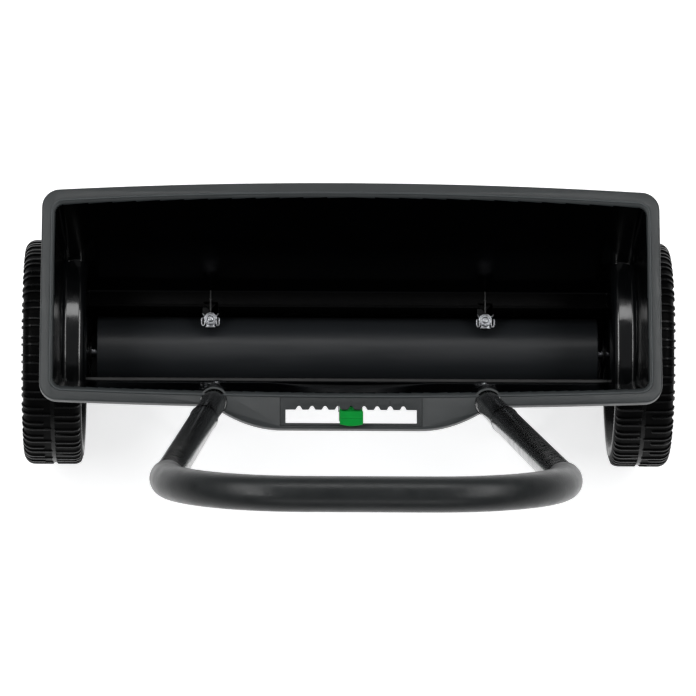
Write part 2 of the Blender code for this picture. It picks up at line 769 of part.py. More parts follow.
def build_rate_knob():
    """Knob: socket and shelf below the scale, stem through the window and thumb cap above it."""
    shelf_top = WINDOW_ALONG - 0.0060
    socket = box("rate_knob", (-0.0104, -0.0054, 0.1520), (0.0104, 0.0054, shelf_top))
    knob = add_part("rate_knob", socket, "green_plastic", lever_pivot)
    shelf = box("shelf", (-0.0103, 0.0030, shelf_top - 0.0080), (0.0103, 0.0095, shelf_top))
    stem = box("stem", (-0.0099, -0.0053, shelf_top - 0.004), (0.0099, 0.0040, CAP_LOW + 0.0015))
    cap = plate("cap", [cap_outline()], CAP_LOW, CAP_HIGH)
    groove = box("groove", (-0.0200, -0.0022, CAP_HIGH - 0.0007), (0.0200, -0.0010, CAP_HIGH + 0.0015))
    slot = box("slot", (-0.0062, -0.0017, 0.1400), (0.0062, 0.0017, 0.1746))
    join(
        knob,
        add_cutter("join_shelf", shelf, lever_pivot),
        add_cutter("join_stem", stem, lever_pivot),
        add_cutter("join_cap", cap, lever_pivot),
    )
    cut(knob, add_cutter("cut_groove", groove, lever_pivot), add_cutter("cut_lever_slot", slot, lever_pivot))


def cap_outline():
    """Thumb cap from above: straight at the front, gently curved at the rear."""
    rear = [(x, -0.0088 + 0.0017 * (x / 0.0105) ** 2) for x in (-0.0105, -0.0070, -0.0035, 0.0, 0.0035, 0.0070, 0.0105)]
    return [*rear, (0.0105, 0.0044), (-0.0105, 0.0044)]


# ---------------------------------------------------------------- roller, axle and wheels


def build_roller_and_axle(line):
    """Everything that turns with the axle, apart from the wheels. Local Z lies along +X."""
    across = (0, math.pi / 2, 0)
    half, inner = ROLLER_HALF, ROLLER_RADIUS - ROLLER_WALL
    shell = [(inner, -half), (ROLLER_RADIUS, -half), (ROLLER_RADIUS, half), (inner, half)]
    add_part("feed_roller", turned("feed_roller", shell, 36), "roller_plastic", line, (0, 0, 0), across, smooth=30)
    axle = rod("axle", AXLE_RADIUS, (0, 0, -AXLE_HALF), (0, 0, AXLE_HALF), 20)
    add_part("axle", axle, "zinc_steel", line, (0, 0, 0), across, smooth=30)
    disc = [
        (AXLE_BORE, -0.010),
        (0.0100, -0.010),
        (0.0100, -0.004),
        (inner - 0.0006, -0.004),
        (inner - 0.0006, -0.001),
        (AXLE_BORE, -0.001),
    ]
    for word, side in (("left", -1.0), ("right", 1.0)):
        end = turned(f"{word}_roller_end", disc, 24)
        turn = across if side > 0 else (0, -math.pi / 2, 0)
        add_part(f"{word}_roller_end", end, "roller_plastic", line, (side * half, 0, 0), turn, smooth=30)


def build_bushes(line):
    """Flanged bushes in the hopper's side walls. Local Z points outward."""
    profile = [
        (AXLE_BORE, 0.2394),
        (0.0099, 0.2394),
        (0.0099, 0.2411),
        (0.0084, 0.2411),
        (0.0084, 0.2460),
        (AXLE_BORE, 0.2460),
    ]
    for word, side in (("left", -1.0), ("right", 1.0)):
        bush = turned(f"{word}_bush", profile, 18)
        turn = (0, side * math.pi / 2, 0)
        add_part(f"{word}_bush", bush, "bush_nylon", line, (0, 0, 0), turn, smooth=30)


def wheel_profile():
    """Half section of a wheel: tread with rounded shoulders, dished web and hub."""
    radius, shoulder, width = AXLE_HEIGHT, 0.009, WHEEL_WIDTH
    inner_arc = arc((radius - shoulder, shoulder), shoulder, 270, 360, 3)
    outer_arc = arc((radius - shoulder, width - shoulder), shoulder, 0, 90, 3)
    return [
        *inner_arc,
        *outer_arc,
        (0.0900, width),
        (0.0860, 0.0300),
        (0.0300, 0.0300),
        (HUB_RADIUS, 0.0330),
        (HUB_RADIUS, HUB_END),
        (AXLE_BORE, HUB_END),
        (AXLE_BORE, 0.0030),
        (0.0180, 0.0030),
        (0.0200, 0.0240),
        (0.0840, 0.0240),
        (0.0880, 0.0),
    ]


def build_wheels(line):
    ring = [(AXLE_BORE, 0.0), (0.0105, 0.0), (0.0105, 0.0012), (AXLE_BORE, 0.0012)]
    star = [(AXLE_BORE, 0.0), (0.0085, 0.0), (0.0078, 0.0011), (AXLE_BORE, 0.0011)]
    spacer = [(AXLE_BORE, 0.0), (0.0110, 0.0), (0.0110, 0.0026), (AXLE_BORE, 0.0026)]
    cap = [
        (0.0, 0.0515),
        (0.0120, 0.0508),
        (0.0190, 0.0485),
        (0.0236, 0.0440),
        (0.0236, 0.0345),
        (0.0223, 0.0345),
        (0.0223, 0.0433),
        (0.0180, 0.0470),
        (0.0, 0.0498),
    ]
    for word, side in (("left", -1.0), ("right", 1.0)):
        turn = (0, side * math.pi / 2, 0)

        def across(distance):
            return (side * (WHEEL_INNER_FACE + distance), 0, 0)

        wheel = turned(f"{word}_wheel", wheel_profile(), 40)
        add_part(f"{word}_wheel", wheel, "wheel_plastic", line, across(0), turn, smooth=30)
        add_part(f"{word}_hub_cap", turned("c", cap, 20), "wheel_plastic", line, across(0), turn, smooth=40)
        add_part(f"{word}_spacer", turned("s", spacer, 14), "bush_nylon", line, across(0.0001), turn, smooth=40)
        washer_at = across(HUB_END + 0.0003)
        add_part(f"{word}_washer", turned("w", ring, 14), "zinc_steel", line, washer_at, turn, smooth=40)
        clip_at = across(HUB_END + 0.0018)
        add_part(f"{word}_push_clip", turned("k", star, 14), "zinc_steel", line, clip_at, turn, smooth=40)


# ---------------------------------------------------------------- seal strip and clips


def build_seal_strip(root):
    """L-section strip on the ledge, with a down-turned edge and a ribbed tongue under each clip."""
    half = 0.2405
    top = STRIP_BOTTOM + STRIP_THICKNESS
    flat = box("seal_strip", (-half, LEDGE_EDGE + 0.0005, STRIP_BOTTOM), (half, 0.0465, top))
    strip = add_part("seal_strip", flat, "rubber", root)
    edge_low = (-half + 0.0001, LEDGE_EDGE - 0.0016, 0.1280)
    edge = box("edge", edge_low, (half - 0.0001, LEDGE_EDGE - 0.0003, top - 0.0002))
    lap_low = (-half + 0.0002, LEDGE_EDGE - 0.0012, STRIP_BOTTOM + 0.0001)
    lap = box("lap", lap_low, (half - 0.0002, LEDGE_EDGE + 0.0020, top - 0.0003))
    join(strip, add_cutter("join_strip_edge", edge, root), add_cutter("join_strip_lap", lap, root))
    for side, word in ((-1.0, "left"), (1.0, "right")):
        x = side * CLIP_HALF
        gap = box("gap", (x - 0.0084, 0.0300, 0.1200), (x + 0.0084, LEDGE_EDGE, STRIP_BOTTOM + 0.0001))
        tongue_low = (x - 0.0073, CLIP_FORWARD, STRIP_BOTTOM + 0.00005)
        tongue = box("tongue", tongue_low, (x + 0.0073, LEDGE_EDGE + 0.0030, top - 0.00005))
        rib = box("rib", (x - 0.0007, 0.0268, top - 0.0003), (x + 0.0007, 0.0463, top + 0.0010))
        lobe = rod("lobe", LUG_RADIUS, (x, CLIP_FORWARD, STRIP_BOTTOM), (x, CLIP_FORWARD, top - 0.0001), 20)
        hole = rod("hole", SCREW_HOLE, (x, CLIP_FORWARD, 0.1400), (x, CLIP_FORWARD, 0.1520), 12)
        cut(strip, add_cutter(f"cut_{word}_strip_gap", gap, root))
        join(strip, add_cutter(f"join_{word}_lobe", lobe, root), add_cutter(f"join_{word}_tongue", tongue, root))
        join(strip, add_cutter(f"join_{word}_strip_rib", rib, root))
        cut(strip, add_cutter(f"cut_{word}_strip_hole", hole, root))


def build_clips(root):
    """Bent steel clip, washer and screw at each lug."""
    base_low = STRIP_BOTTOM + STRIP_THICKNESS + 0.0003
    base_high = base_low + 0.0009
    washer_low = base_high + 0.0003
    washer = [(SCREW_HOLE, 0.0), (0.0060, 0.0), (0.0060, 0.0010), (SCREW_HOLE, 0.0010)]
    for side, word in ((-1.0, "left"), (1.0, "right")):
        x, y = side * CLIP_HALF, CLIP_FORWARD
        base = box("base", (x - 0.0082, y - 0.0088, base_low), (x + 0.0082, y + 0.0060, base_high))
        clip = add_part(f"{word}_clip", base, "zinc_steel", root)
        for index, sign in enumerate((-1.0, 1.0)):
            inner, outer = sorted((x + sign * 0.0076, x + sign * 0.0085))
            ear = box("ear", (inner, y - 0.0060, base_low + 0.0001), (outer, y + 0.0040, base_high + 0.0034))
            join(clip, add_cutter(f"join_{word}_ear_{index + 1}", ear, root))
        hook = box("hook", (x - 0.0060, y - 0.0089, base_low - 0.0040), (x + 0.0060, y - 0.0080, base_high - 0.0001))
        join(clip, add_cutter(f"join_{word}_hook", hook, root))
        hole = rod("hole", SCREW_HOLE, (x, y, base_low - 0.003), (x, y, base_high + 0.003), 16)
        cut(clip, add_cutter(f"cut_{word}_clip_hole", hole, root))
        spot = (x, y, washer_low)
        add_part(f"{word}_clip_washer", turned("w", washer, 16), "zinc_steel", root, spot, smooth=40)
        screw = turned("s", screw_profile(0.0042, 0.0022, 0.0118), 14)
        spot = (x, y, washer_low + 0.0013)
        add_part(f"{word}_clip_screw", screw, "zinc_steel", root, spot, smooth=40)


# ---------------------------------------------------------------- handle and stand legs


def handle_path(start):
    """Right half of the handle's centre line in its own plane, from length start to the middle."""
    splay = math.atan(TUBE_SPLAY)
    turn = math.pi / 2 + splay
    corner = (TUBE_SPACING_HALF + TUBE_SPLAY * HANDLE_LENGTH, HANDLE_LENGTH)
    tangent = BEND_RADIUS * math.tan(turn / 2)
    bend_start = (corner[0] - math.sin(splay) * tangent, corner[1] - math.cos(splay) * tangent)
    centre = (
        bend_start[0] - math.cos(splay) * BEND_RADIUS,
        bend_start[1] + math.sin(splay) * BEND_RADIUS,
    )
    bend = arc(centre, BEND_RADIUS, -math.degrees(splay), 90, 8)
    straight = [(TUBE_SPACING_HALF + TUBE_SPLAY * start, start)] if start < bend_start[1] else []
    return straight + bend


def whole_path(start):
    right = [(x, 0.0, along) for x, along in handle_path(start)]
    left = [(-x, y, along) for x, y, along in right]
    return left + right[::-1]


def build_handle(frame):
    """Upper U tube and the grip over its crossbar and corners."""
    upper = tube_mesh("upper_handle", whole_path(JOINT_AT + 0.0005), UPPER_TUBE_RADIUS, 5, False, UPPER_TUBE_WALL)
    add_part("upper_handle", upper, "black_tube", frame, smooth=40)
    grip = tube_mesh("handle_grip", whole_path(HANDLE_LENGTH), GRIP_RADIUS, 5, False, GRIP_WALL)
    add_part("handle_grip", grip, "grip_vinyl", frame, smooth=40)


def build_lower_tubes(frame, root):
    """Lower tubes with a swaged top, their end plugs and their bolts into the hopper."""
    start, joint, top = LOWER_END, JOINT_AT, JOINT_AT + SPIGOT_LENGTH
    profile = [
        (LOWER_TUBE_BORE, start),
        (LOWER_TUBE_RADIUS, start),
        (LOWER_TUBE_RADIUS, joint - 0.0006),
        (SPIGOT_RADIUS, joint),
        (SPIGOT_RADIUS, top),
        (SPIGOT_BORE, top),
        (SPIGOT_BORE, joint),
        (LOWER_TUBE_BORE, joint - 0.010),
    ]
    plug = [
        (LEG_RADIUS + 0.0004, start - 0.0035),
        (0.0112, start - 0.0035),
        (0.0112, start - 0.0003),
        (LOWER_TUBE_BORE - 0.0005, start - 0.0003),
        (LOWER_TUBE_BORE - 0.0005, start + 0.0180),
        (LEG_RADIUS + 0.0004, start + 0.0180),
    ]
    bolt = [
        (0.0, 0.0020),
        (0.0032, 0.0020),
        (0.0048, 0.0009),
        (0.0048, 0.0),
        (BOLT_RADIUS, 0.0),
        (BOLT_RADIUS, -0.0265),
        (0.0, -0.0265),
    ]
    for word, side in (("left", -1.0), ("right", 1.0)):
        spot = (side * TUBE_SPACING_HALF, 0, 0)
        lean = (0, side * math.atan(TUBE_SPLAY), 0)
        tube = add_part(
            f"{word}_lower_tube", turned(f"{word}_lower_tube", profile, 20), "black_tube", frame, spot, lean, smooth=30
        )
        middle = Vector((side * (TUBE_SPACING_HALF + TUBE_SPLAY * BOLT_AT), 0, BOLT_AT))
        hole = rod("hole", 0.0029, middle - Vector((0, 0.02, 0)), middle + Vector((0, 0.02, 0)), 12)
        cut(tube, add_cutter(f"cut_{word}_tube_bolt", hole, frame))
        add_part(f"{word}_tube_plug", turned("p", plug, 16), "rubber", frame, spot, lean, smooth=40)
        head_at = middle - Vector((0, 0.0115, 0))
        bolt_mesh = turned("b", bolt, 12)
        add_part(f"{word}_tube_bolt", bolt_mesh, "zinc_steel", frame, head_at, (math.pi / 2, 0, 0), smooth=40)


def build_stand(root):
    """Wire leg from each lower tube's plug down to a rubber foot level with the tyres."""
    foot = [
        (0.0, 0.0),
        (FOOT_RADIUS * 0.92, 0.0),
        (FOOT_RADIUS, 0.002),
        (FOOT_RADIUS * 0.75, FOOT_HEIGHT),
        (LEG_RADIUS + 0.0004, FOOT_HEIGHT),
        (LEG_RADIUS + 0.0004, 0.0045),
        (0.0, 0.0045),
    ]
    for word, side in (("left", -1.0), ("right", 1.0)):
        inside = Vector(tube_axis(LOWER_END + 0.015, side))
        mouth = Vector(tube_axis(LOWER_END - 0.006, side))
        above_foot = Vector((FOOT_XS[word], FOOT_BACK, 0.034))
        ground_end = Vector((FOOT_XS[word], FOOT_BACK, 0.0050))
        path = [
            inside,
            mouth,
            mouth.lerp(above_foot, 0.10) + Vector((0, 0.0028, -0.004)),
            mouth.lerp(above_foot, 0.22),
            mouth.lerp(above_foot, 0.90),
            above_foot + Vector((0, 0, -0.004)),
            ground_end,
        ]
        leg = tube_mesh(f"{word}_stand_leg", path, LEG_RADIUS, 2)
        add_part(f"{word}_stand_leg", leg, "zinc_steel", root, smooth=50)
        pad = turned(f"{word}_foot", foot, 18)
        add_part(f"{word}_foot", pad, "rubber", root, (FOOT_XS[word], FOOT_BACK, 0.0), smooth=40)


# ---------------------------------------------------------------- assembly

clear_scene()
parts = new_collection("drop_spreader")
cutters = new_collection("cutters")
materials = {name: make_material(name) for name in COLOURS}
HANDLE_FORWARD = Vector((0, math.cos(HANDLE_LEAN), math.sin(HANDLE_LEAN)))

spreader = empty("spreader", None, (0, AXLE_FORWARD, 0))
axle_line = empty("axle_line", spreader, (0, 0, AXLE_HEIGHT))
lever_pivot = empty("lever_pivot", spreader, LEVER_PIVOT, (LEVER_LEAN, 0, 0))
handle_frame = empty("handle_frame", spreader, (0, HANDLE_REAR, RIM_TOP), (HANDLE_LEAN, 0, 0))

build_hopper(spreader)
build_scale_plate(spreader)
build_metering_tray(spreader)
build_tray_screws(spreader)
build_shutter(spreader)
build_shutter_rails(spreader)
build_rate_lever()
build_rate_knob()
build_roller_and_axle(axle_line)
build_bushes(axle_line)
build_wheels(axle_line)
build_seal_strip(spreader)
build_clips(spreader)
build_handle(handle_frame)
build_lower_tubes(handle_frame, spreader)
build_stand(spreader)
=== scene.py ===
"""Looks of the walk-behind drop spreader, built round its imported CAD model.

Metres. The hopper's own frame has Y = 0 above the axle. TO_ROW takes it to the shared frame.
"""

import json
from math import atan, cos, degrees, hypot, pi, radians, sin, tan

import bmesh
import bpy
from mathutils import Matrix, Vector


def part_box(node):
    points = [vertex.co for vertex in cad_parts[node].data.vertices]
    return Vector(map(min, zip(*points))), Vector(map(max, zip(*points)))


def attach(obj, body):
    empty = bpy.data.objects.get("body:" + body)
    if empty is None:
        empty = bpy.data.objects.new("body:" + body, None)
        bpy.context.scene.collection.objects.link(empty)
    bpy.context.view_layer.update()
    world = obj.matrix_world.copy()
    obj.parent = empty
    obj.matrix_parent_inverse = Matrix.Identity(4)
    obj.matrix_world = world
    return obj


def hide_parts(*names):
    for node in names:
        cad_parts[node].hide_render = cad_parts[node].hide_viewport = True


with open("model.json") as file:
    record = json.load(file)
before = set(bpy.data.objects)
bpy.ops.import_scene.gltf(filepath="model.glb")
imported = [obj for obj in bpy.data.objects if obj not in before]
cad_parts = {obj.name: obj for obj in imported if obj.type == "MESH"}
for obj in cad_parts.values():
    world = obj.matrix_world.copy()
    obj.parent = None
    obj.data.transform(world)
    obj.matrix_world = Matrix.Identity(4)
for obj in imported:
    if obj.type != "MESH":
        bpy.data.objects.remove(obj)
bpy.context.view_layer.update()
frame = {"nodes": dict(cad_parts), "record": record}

# Places taken from the CAD
axle_low, axle_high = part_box("axle")
AXLE_Y = (axle_low[1] + axle_high[1]) / 2
AXLE_Z = (axle_low[2] + axle_high[2]) / 2
RIM_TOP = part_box("hopper")[1][2]

# Hopper, in its own frame
RIM_WIDTH = 0.560
RIM_DEPTH = 0.196
RIM_CORNER = 0.0165
FLANGE_WIDTH = 0.0122
FLANGE_THICKNESS = 0.003
LIP_HEIGHT = 0.009
LIP_THICKNESS = 0.002
FRONT_BOW = 0.0085
REAR_BOW = 0.0055
WALL = 0.0025
TAB_REAR = -0.1243
TAB_FLAT_HALF = 0.062
TAB_CURVE = 5.6
TAB_JOIN = 0.124
KNEE_TOP = 0.268
LEDGE_TOP = 0.148
LEDGE_EDGE = 0.0340
FRONT_SLOPE = 0.23
KNEE_REAR = -0.0722
KNEE_SAG = 0.0054
KNEE_SAG_HALF = 0.0715
THROAT_REAR = -0.0412
SIDE_TOP_HALF = 0.268
SIDE_LOW_HALF = 0.262
BEAD_RADIUS = 0.0010
BEAD_OFFSET = 0.0032
BUSH_SEAT_RADIUS = 0.0088
ARCH_RADIUS = 0.112
ARCH_FACE = 0.244
HOUSING_HALF = 0.0377
CHAMBER_HALF = 0.0355
HOUSING_BOTTOM = 0.0945

# Rate scale, lever and knob
SCALE_HALF = 0.0635
SCALE_FRONT = -0.0950
SCALE_REAR = -0.1215
SCALE_THICKNESS = 0.0015
WINDOW_HALF = 0.0588
WINDOW_REAR = -0.1190
LAND_EDGE = -0.1065
NOTCH_DEPTH = 0.0035
NOTCH_COUNT = 9
NOTCH_PITCH = 0.0117
LEVER_PIVOT = (0.0, -0.062, 0.118)
LEVER_LEAN = radians(15.27)
WINDOW_ALONG = 0.1918
CAP_LOW = 0.2035
CAP_HIGH = 0.2080

# Handle, in a frame that leans back with it
HANDLE_REAR = -0.1008
HANDLE_LEAN = radians(20.2)
TUBE_SPACING_HALF = 0.1233
TUBE_SPLAY = 0.0502
HANDLE_LENGTH = 0.731
BEND_RADIUS = 0.1058
LOWER_TUBE_RADIUS = 0.0112
UPPER_TUBE_RADIUS = 0.0121
GRIP_RADIUS = 0.01375
JOINT_AT = 0.150
LOWER_END = -0.066
BOLT_AT = -0.045
SOCKET_RADIUS = 0.0121
SOCKET_WALL = 0.0018

# Roller, wheels and clips
ROLLER_RADIUS = 0.0335
ROLLER_HALF = 0.234
WHEEL_RADIUS = 0.105
WHEEL_INNER_FACE = 0.2465
WHEEL_WIDTH = 0.0535
TREAD_PAIRS = 38
RIB_HEIGHT = 0.0014
RIB_PAIR = 1.9          # degrees from the middle of a pair to each of its ribs
RIB_TOP = 0.45          # half angle of a rib's top, degrees
RIB_FOOT = 0.71         # half angle of a rib's foot, degrees
SMOOTH_BAND = (0.0246, 0.0278)
CLIP_HALF = 0.128
CLIP_FORWARD = 0.0201
CLIP_BASE = 0.1501

# Camera, in the hopper's frame with Z from the rim
CAMERA_AT = (-0.0887, -1.2906, 4.4996)
CAMERA_AZIMUTH = radians(3.9563)
CAMERA_ELEVATION = radians(74.5419)
CAMERA_ROLL = radians(4.1067)
CAMERA_LENS = 268.46
FLOOR_GLOW = 0.62
WORLD_GLOW = 0.22

TO_ROW = Matrix.Translation((0, AXLE_Y, 0))
LEVER_TO_ROW = TO_ROW @ Matrix.Translation(LEVER_PIVOT) @ Matrix.Rotation(LEVER_LEAN, 4, "X")
HANDLE_TO_ROW = (
    TO_ROW @ Matrix.Translation((0, HANDLE_REAR, RIM_TOP)) @ Matrix.Rotation(HANDLE_LEAN, 4, "X")
)
FIXED = "spreader_body"
SIDES = (("left", -1.0), ("right", 1.0))


# ---------------------------------------------------------------- mesh helpers


def finished(name, bm):
    bm.normal_update()
    bmesh.ops.recalc_face_normals(bm, faces=bm.faces)
    mesh = bpy.data.meshes.new(name)
    bm.to_mesh(mesh)
    bm.free()
    return mesh


def placed(name, data):
    """A new object in the scene."""
    made = bpy.data.objects.new(name, data)
    bpy.context.scene.collection.objects.link(made)
    return made


def skin(bm, rings):
    """Quads between each ring of points and the next, as one list for each gap."""
    bands = []
    for lower, upper in zip(rings, rings[1:]):
        corners = zip(lower, lower[1:] + lower[:1], upper[1:] + upper[:1], upper)
        bands.append([bm.faces.new(quad) for quad in corners])
    return bands


def pointed(run):
    """Rotation that turns local Z along a vector."""
    return run.to_track_quat("Z", "Y").to_matrix().to_4x4()


def circle(radius, count):
    angles = [2 * pi * k / count for k in range(count)]
    return [(radius * cos(angle), radius * sin(angle)) for angle in angles]


def shown(name, mesh, body, material, replaces=(), matrix=TO_ROW, sharp=35):
    """One visible piece, moved to the shared frame, riding on a body and standing for CAD nodes."""
    mesh.transform(matrix)
    mesh.shade_smooth()
    mesh.set_sharp_from_angle(angle=radians(sharp))
    if material is not None:
        mesh.materials.clear()
        mesh.materials.append(MATERIALS[material])
    piece = placed(name, mesh)
    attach(piece, body)
    if replaces:
        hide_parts(*replaces)
    return piece


def merged(name, meshes):
    """Several meshes as one, keeping each one's material indices."""
    bm = bmesh.new()
    for mesh in meshes:
        bm.from_mesh(mesh)
    return finished(name, bm)


def carved(name, mesh, steps):
    """The mesh after a run of (operation, tool mesh) Booleans."""
    base = placed(name, mesh)
    made = [base]
    for operation, tool_mesh in steps:
        tool = placed("tool", tool_mesh)
        made.append(tool)
        modifier = base.modifiers.new("step", "BOOLEAN")
        modifier.object = tool
        modifier.operation = operation
        modifier.solver = "EXACT"
    graph = bpy.context.evaluated_depsgraph_get()
    result = bpy.data.meshes.new_from_object(base.evaluated_get(graph))
    for item in made:
        bpy.data.objects.remove(item, do_unlink=True)
    return result


def block(name, low, high, radius=0.0, segments=3):
    """A block between two corners, its edges rounded."""
    bm = bmesh.new()
    size = Vector(high) - Vector(low)
    middle = (Vector(high) + Vector(low)) / 2
    matrix = Matrix.Translation(middle) @ Matrix.Diagonal((*size, 1.0))
    bmesh.ops.create_cube(bm, size=1.0, matrix=matrix)
    if radius:
        bmesh.ops.bevel(
            bm, geom=bm.edges[:], offset=radius, segments=segments, affect="EDGES", profile=0.5
        )
    return finished(name, bm)


def rod(name, radius, start, end, segments=48):
    start, end = Vector(start), Vector(end)
    bm = bmesh.new()
    length = (end - start).length
    bmesh.ops.create_cone(
        bm, cap_ends=True, segments=segments, radius1=radius, radius2=radius, depth=length
    )
    bm.transform(Matrix.Translation((start + end) / 2) @ pointed(end - start))
    return finished(name, bm)


def spun(name, profile, segments=48, matrix=Matrix.Identity(4)):
    """A closed outline of (radius, height) points turned about local Z."""
    bm = bmesh.new()
    rings = []
    for radius, height in profile:
        if radius < 1e-7:
            rings.append([bm.verts.new((0, 0, height))])
            continue
        ring = []
        for i in range(segments):
            angle = 2 * pi * i / segments
            ring.append(bm.verts.new((radius * cos(angle), radius * sin(angle), height)))
        rings.append(ring)
    for a, b in zip(rings, rings[1:] + rings[:1]):
        if len(a) == 1 and len(b) == 1:
            continue
        for i in range(segments):
            j = (i + 1) % segments
            if len(a) == 1:
                bm.faces.new((a[0], b[i], b[j]))
            elif len(b) == 1:
                bm.faces.new((a[i], b[0], a[j]))
            else:
                bm.faces.new((a[i], b[i], b[j], a[j]))
    bm.transform(matrix)
    return finished(name, bm)


def arc(centre, radius, start, end, steps):
    """Points along an arc, angles in degrees."""
    found = []
    for i in range(steps + 1):
        angle = radians(start + (end - start) * i / steps)
        found.append((centre[0] + radius * cos(angle), centre[1] + radius * sin(angle)))
    return found


def loft(name, rings):
    """A solid through rings of equally many points, closed at both ends."""
    bm = bmesh.new()
    levels = [[bm.verts.new(point) for point in ring] for ring in rings]
    skin(bm, levels)
    bmesh.ops.triangulate(bm, faces=bm.faces)
    bm.faces.new(levels[0][::-1])
    bm.faces.new(levels[-1])
    return finished(name, bm)


def sheet(name, outlines, low, high, edge=0.0, edge_steps=2):
    """A flat plate from 2D outlines, with its top and bottom edges rounded by edge."""
    curve = bpy.data.curves.new(name, "CURVE")
    curve.dimensions = "2D"
    curve.fill_mode = "BOTH"
    curve.extrude = (high - low) / 2 - edge
    curve.bevel_depth = edge
    curve.bevel_resolution = edge_steps
    curve.offset = -edge
    for outline in outlines:
        spline = curve.splines.new("POLY")
        spline.points.add(len(outline) - 1)
        for point, (x, y) in zip(spline.points, outline):
            point.co = (x, y, 0.0, 1.0)
        spline.use_cyclic_u = True
    return mesh_of(curve, Matrix.Translation((0, 0, (low + high) / 2)))


def mesh_of(curve, matrix=Matrix.Identity(4)):
    holder = placed("holder", curve)
    graph = bpy.context.evaluated_depsgraph_get()
    made = bpy.data.meshes.new_from_object(holder.evaluated_get(graph))
    bpy.data.objects.remove(holder, do_unlink=True)
    bm = bmesh.new()
    bm.from_mesh(made)
    bmesh.ops.remove_doubles(bm, verts=bm.verts, dist=0.000005)
    bm.transform(matrix)
    return finished("made", bm)


def swept(name, points, radii, sides=40, wall=0.0):
    """A round bar or tube along points, with its own radius at each point."""
    points = [Vector(p) for p in points]
    bm = bmesh.new()
    side = None
    stations = []
    for i, point in enumerate(points):
        along = (points[min(i + 1, len(points) - 1)] - points[max(i - 1, 0)]).normalized()
        if side is None:
            start = Vector((0, 1, 0)) if abs(along.y) < 0.9 else Vector((1, 0, 0))
            side = (start - along * start.dot(along)).normalized()
        side = (side - along * side.dot(along)).normalized()
        stations.append((point, side.copy(), along.cross(side)))

    def ring(index, radius):
        point, a, b = stations[index]
        made = []
        for k in range(sides):
            angle = 2 * pi * k / sides
            made.append(bm.verts.new(point + (a * cos(angle) + b * sin(angle)) * radius))
        return made

    outer = [ring(i, radius) for i, radius in enumerate(radii)]
    if wall:
        inner = [ring(i, radius - wall) for i, radius in enumerate(radii)]
        skin(bm, outer + inner[::-1] + outer[:1])
    else:
        skin(bm, outer)
        bm.faces.new(outer[0])
        bm.faces.new(outer[-1])
    return finished(name, bm)


def smoothstep(low, high, value):
    share = min(1.0, max(0.0, (value - low) / (high - low)))
    return share * share * (3 - 2 * share)


# ---------------------------------------------------------------- materials


MATERIALS = {}


def dial(node, **values):
    """Set a node's own sockets. An underscore stands for a space in a socket's name."""
    for name, value in values.items():
        node.inputs[name.replace("_", " ")].default_value = value


def surface(
    name,
    colour,
    roughness,
    metallic=0.0,
    grain=(900.0, 0.10, 0.0002),
    mottle=(18.0, 0.18),
    rough_spread=0.06,
    edge=0.0006,
    specular=0.5,
    coat=0.0,
    streak=None,
    wear_and_highlight=0.0,
):
    """A moulded, coated or plated surface: fine grain, slow colour drift and softened edges.

    grain is (scale per metre, bump strength, bump distance); mottle is (scale, share of colour).
    """
    made = bpy.data.materials.new(name)
    made.use_nodes = True
    nodes, links = made.node_tree.nodes, made.node_tree.links
    shader = nodes["Principled BSDF"]
    dial(shader, Metallic=metallic, Specular_IOR_Level=specular, Coat_Weight=coat, Coat_Roughness=0.12)
    place = nodes.new("ShaderNodeTexCoord")
    stretch = nodes.new("ShaderNodeMapping")
    dial(stretch, Scale=streak or (1.0, 1.0, 1.0))
    links.new(place.outputs["Object"], stretch.inputs["Vector"])

    def noise(scale, detail, rough=0.5):
        texture = nodes.new("ShaderNodeTexNoise")
        dial(texture, Scale=scale, Detail=detail, Roughness=rough)
        links.new(stretch.outputs["Vector"], texture.inputs["Vector"])
        return texture.outputs["Fac"]

    tint = nodes.new("ShaderNodeValToRGB")
    tint.color_ramp.elements[0].position = 0.30
    tint.color_ramp.elements[1].position = 0.70
    tint.color_ramp.elements[0].color = (*[c * (1 - mottle[1]) for c in colour], 1)
    tint.color_ramp.elements[1].color = (*[c * (1 + mottle[1]) for c in colour], 1)
    links.new(noise(mottle[0], 6.0, 0.6), tint.inputs["Fac"])
    colour_out = tint.outputs["Color"]
    # Convex edges lightened by pointiness: partly rubbed wear, partly a painted highlight along edges and rib
    # tops.
    if wear_and_highlight:
        geometry = nodes.new("ShaderNodeNewGeometry")
        ridge = nodes.new("ShaderNodeValToRGB")
        ridge.color_ramp.elements[0].position = 0.53
        ridge.color_ramp.elements[1].position = 0.62
        links.new(geometry.outputs["Pointiness"], ridge.inputs["Fac"])
        edge_wear_highlight_mix = nodes.new("ShaderNodeMix")
        edge_wear_highlight_mix.data_type = "RGBA"
        dial(edge_wear_highlight_mix, B=(*[min(1.0, c * (1 + wear_and_highlight) + 0.01 * wear_and_highlight) for c in colour], 1))
        links.new(ridge.outputs["Color"], edge_wear_highlight_mix.inputs["Factor"])
        links.new(colour_out, edge_wear_highlight_mix.inputs["A"])
        colour_out = edge_wear_highlight_mix.outputs["Result"]
    links.new(colour_out, shader.inputs["Base Color"])

    shine = nodes.new("ShaderNodeMapRange")
    dial(shine, From_Min=0.3, From_Max=0.7)
    dial(shine, To_Min=max(0.03, roughness - rough_spread), To_Max=roughness + rough_spread)
    links.new(noise(mottle[0] * 4, 5.0), shine.inputs["Value"])
    links.new(shine.outputs["Result"], shader.inputs["Roughness"])

    bump = nodes.new("ShaderNodeBump")
    dial(bump, Strength=grain[1], Distance=grain[2])
    links.new(noise(grain[0], 3.0), bump.inputs["Height"])
    if edge:
        soften = nodes.new("ShaderNodeBevel")
        soften.samples = 6
        dial(soften, Radius=edge)
        links.new(soften.outputs["Normal"], bump.inputs["Normal"])
    links.new(bump.outputs["Normal"], shader.inputs["Normal"])
    MATERIALS[name] = made
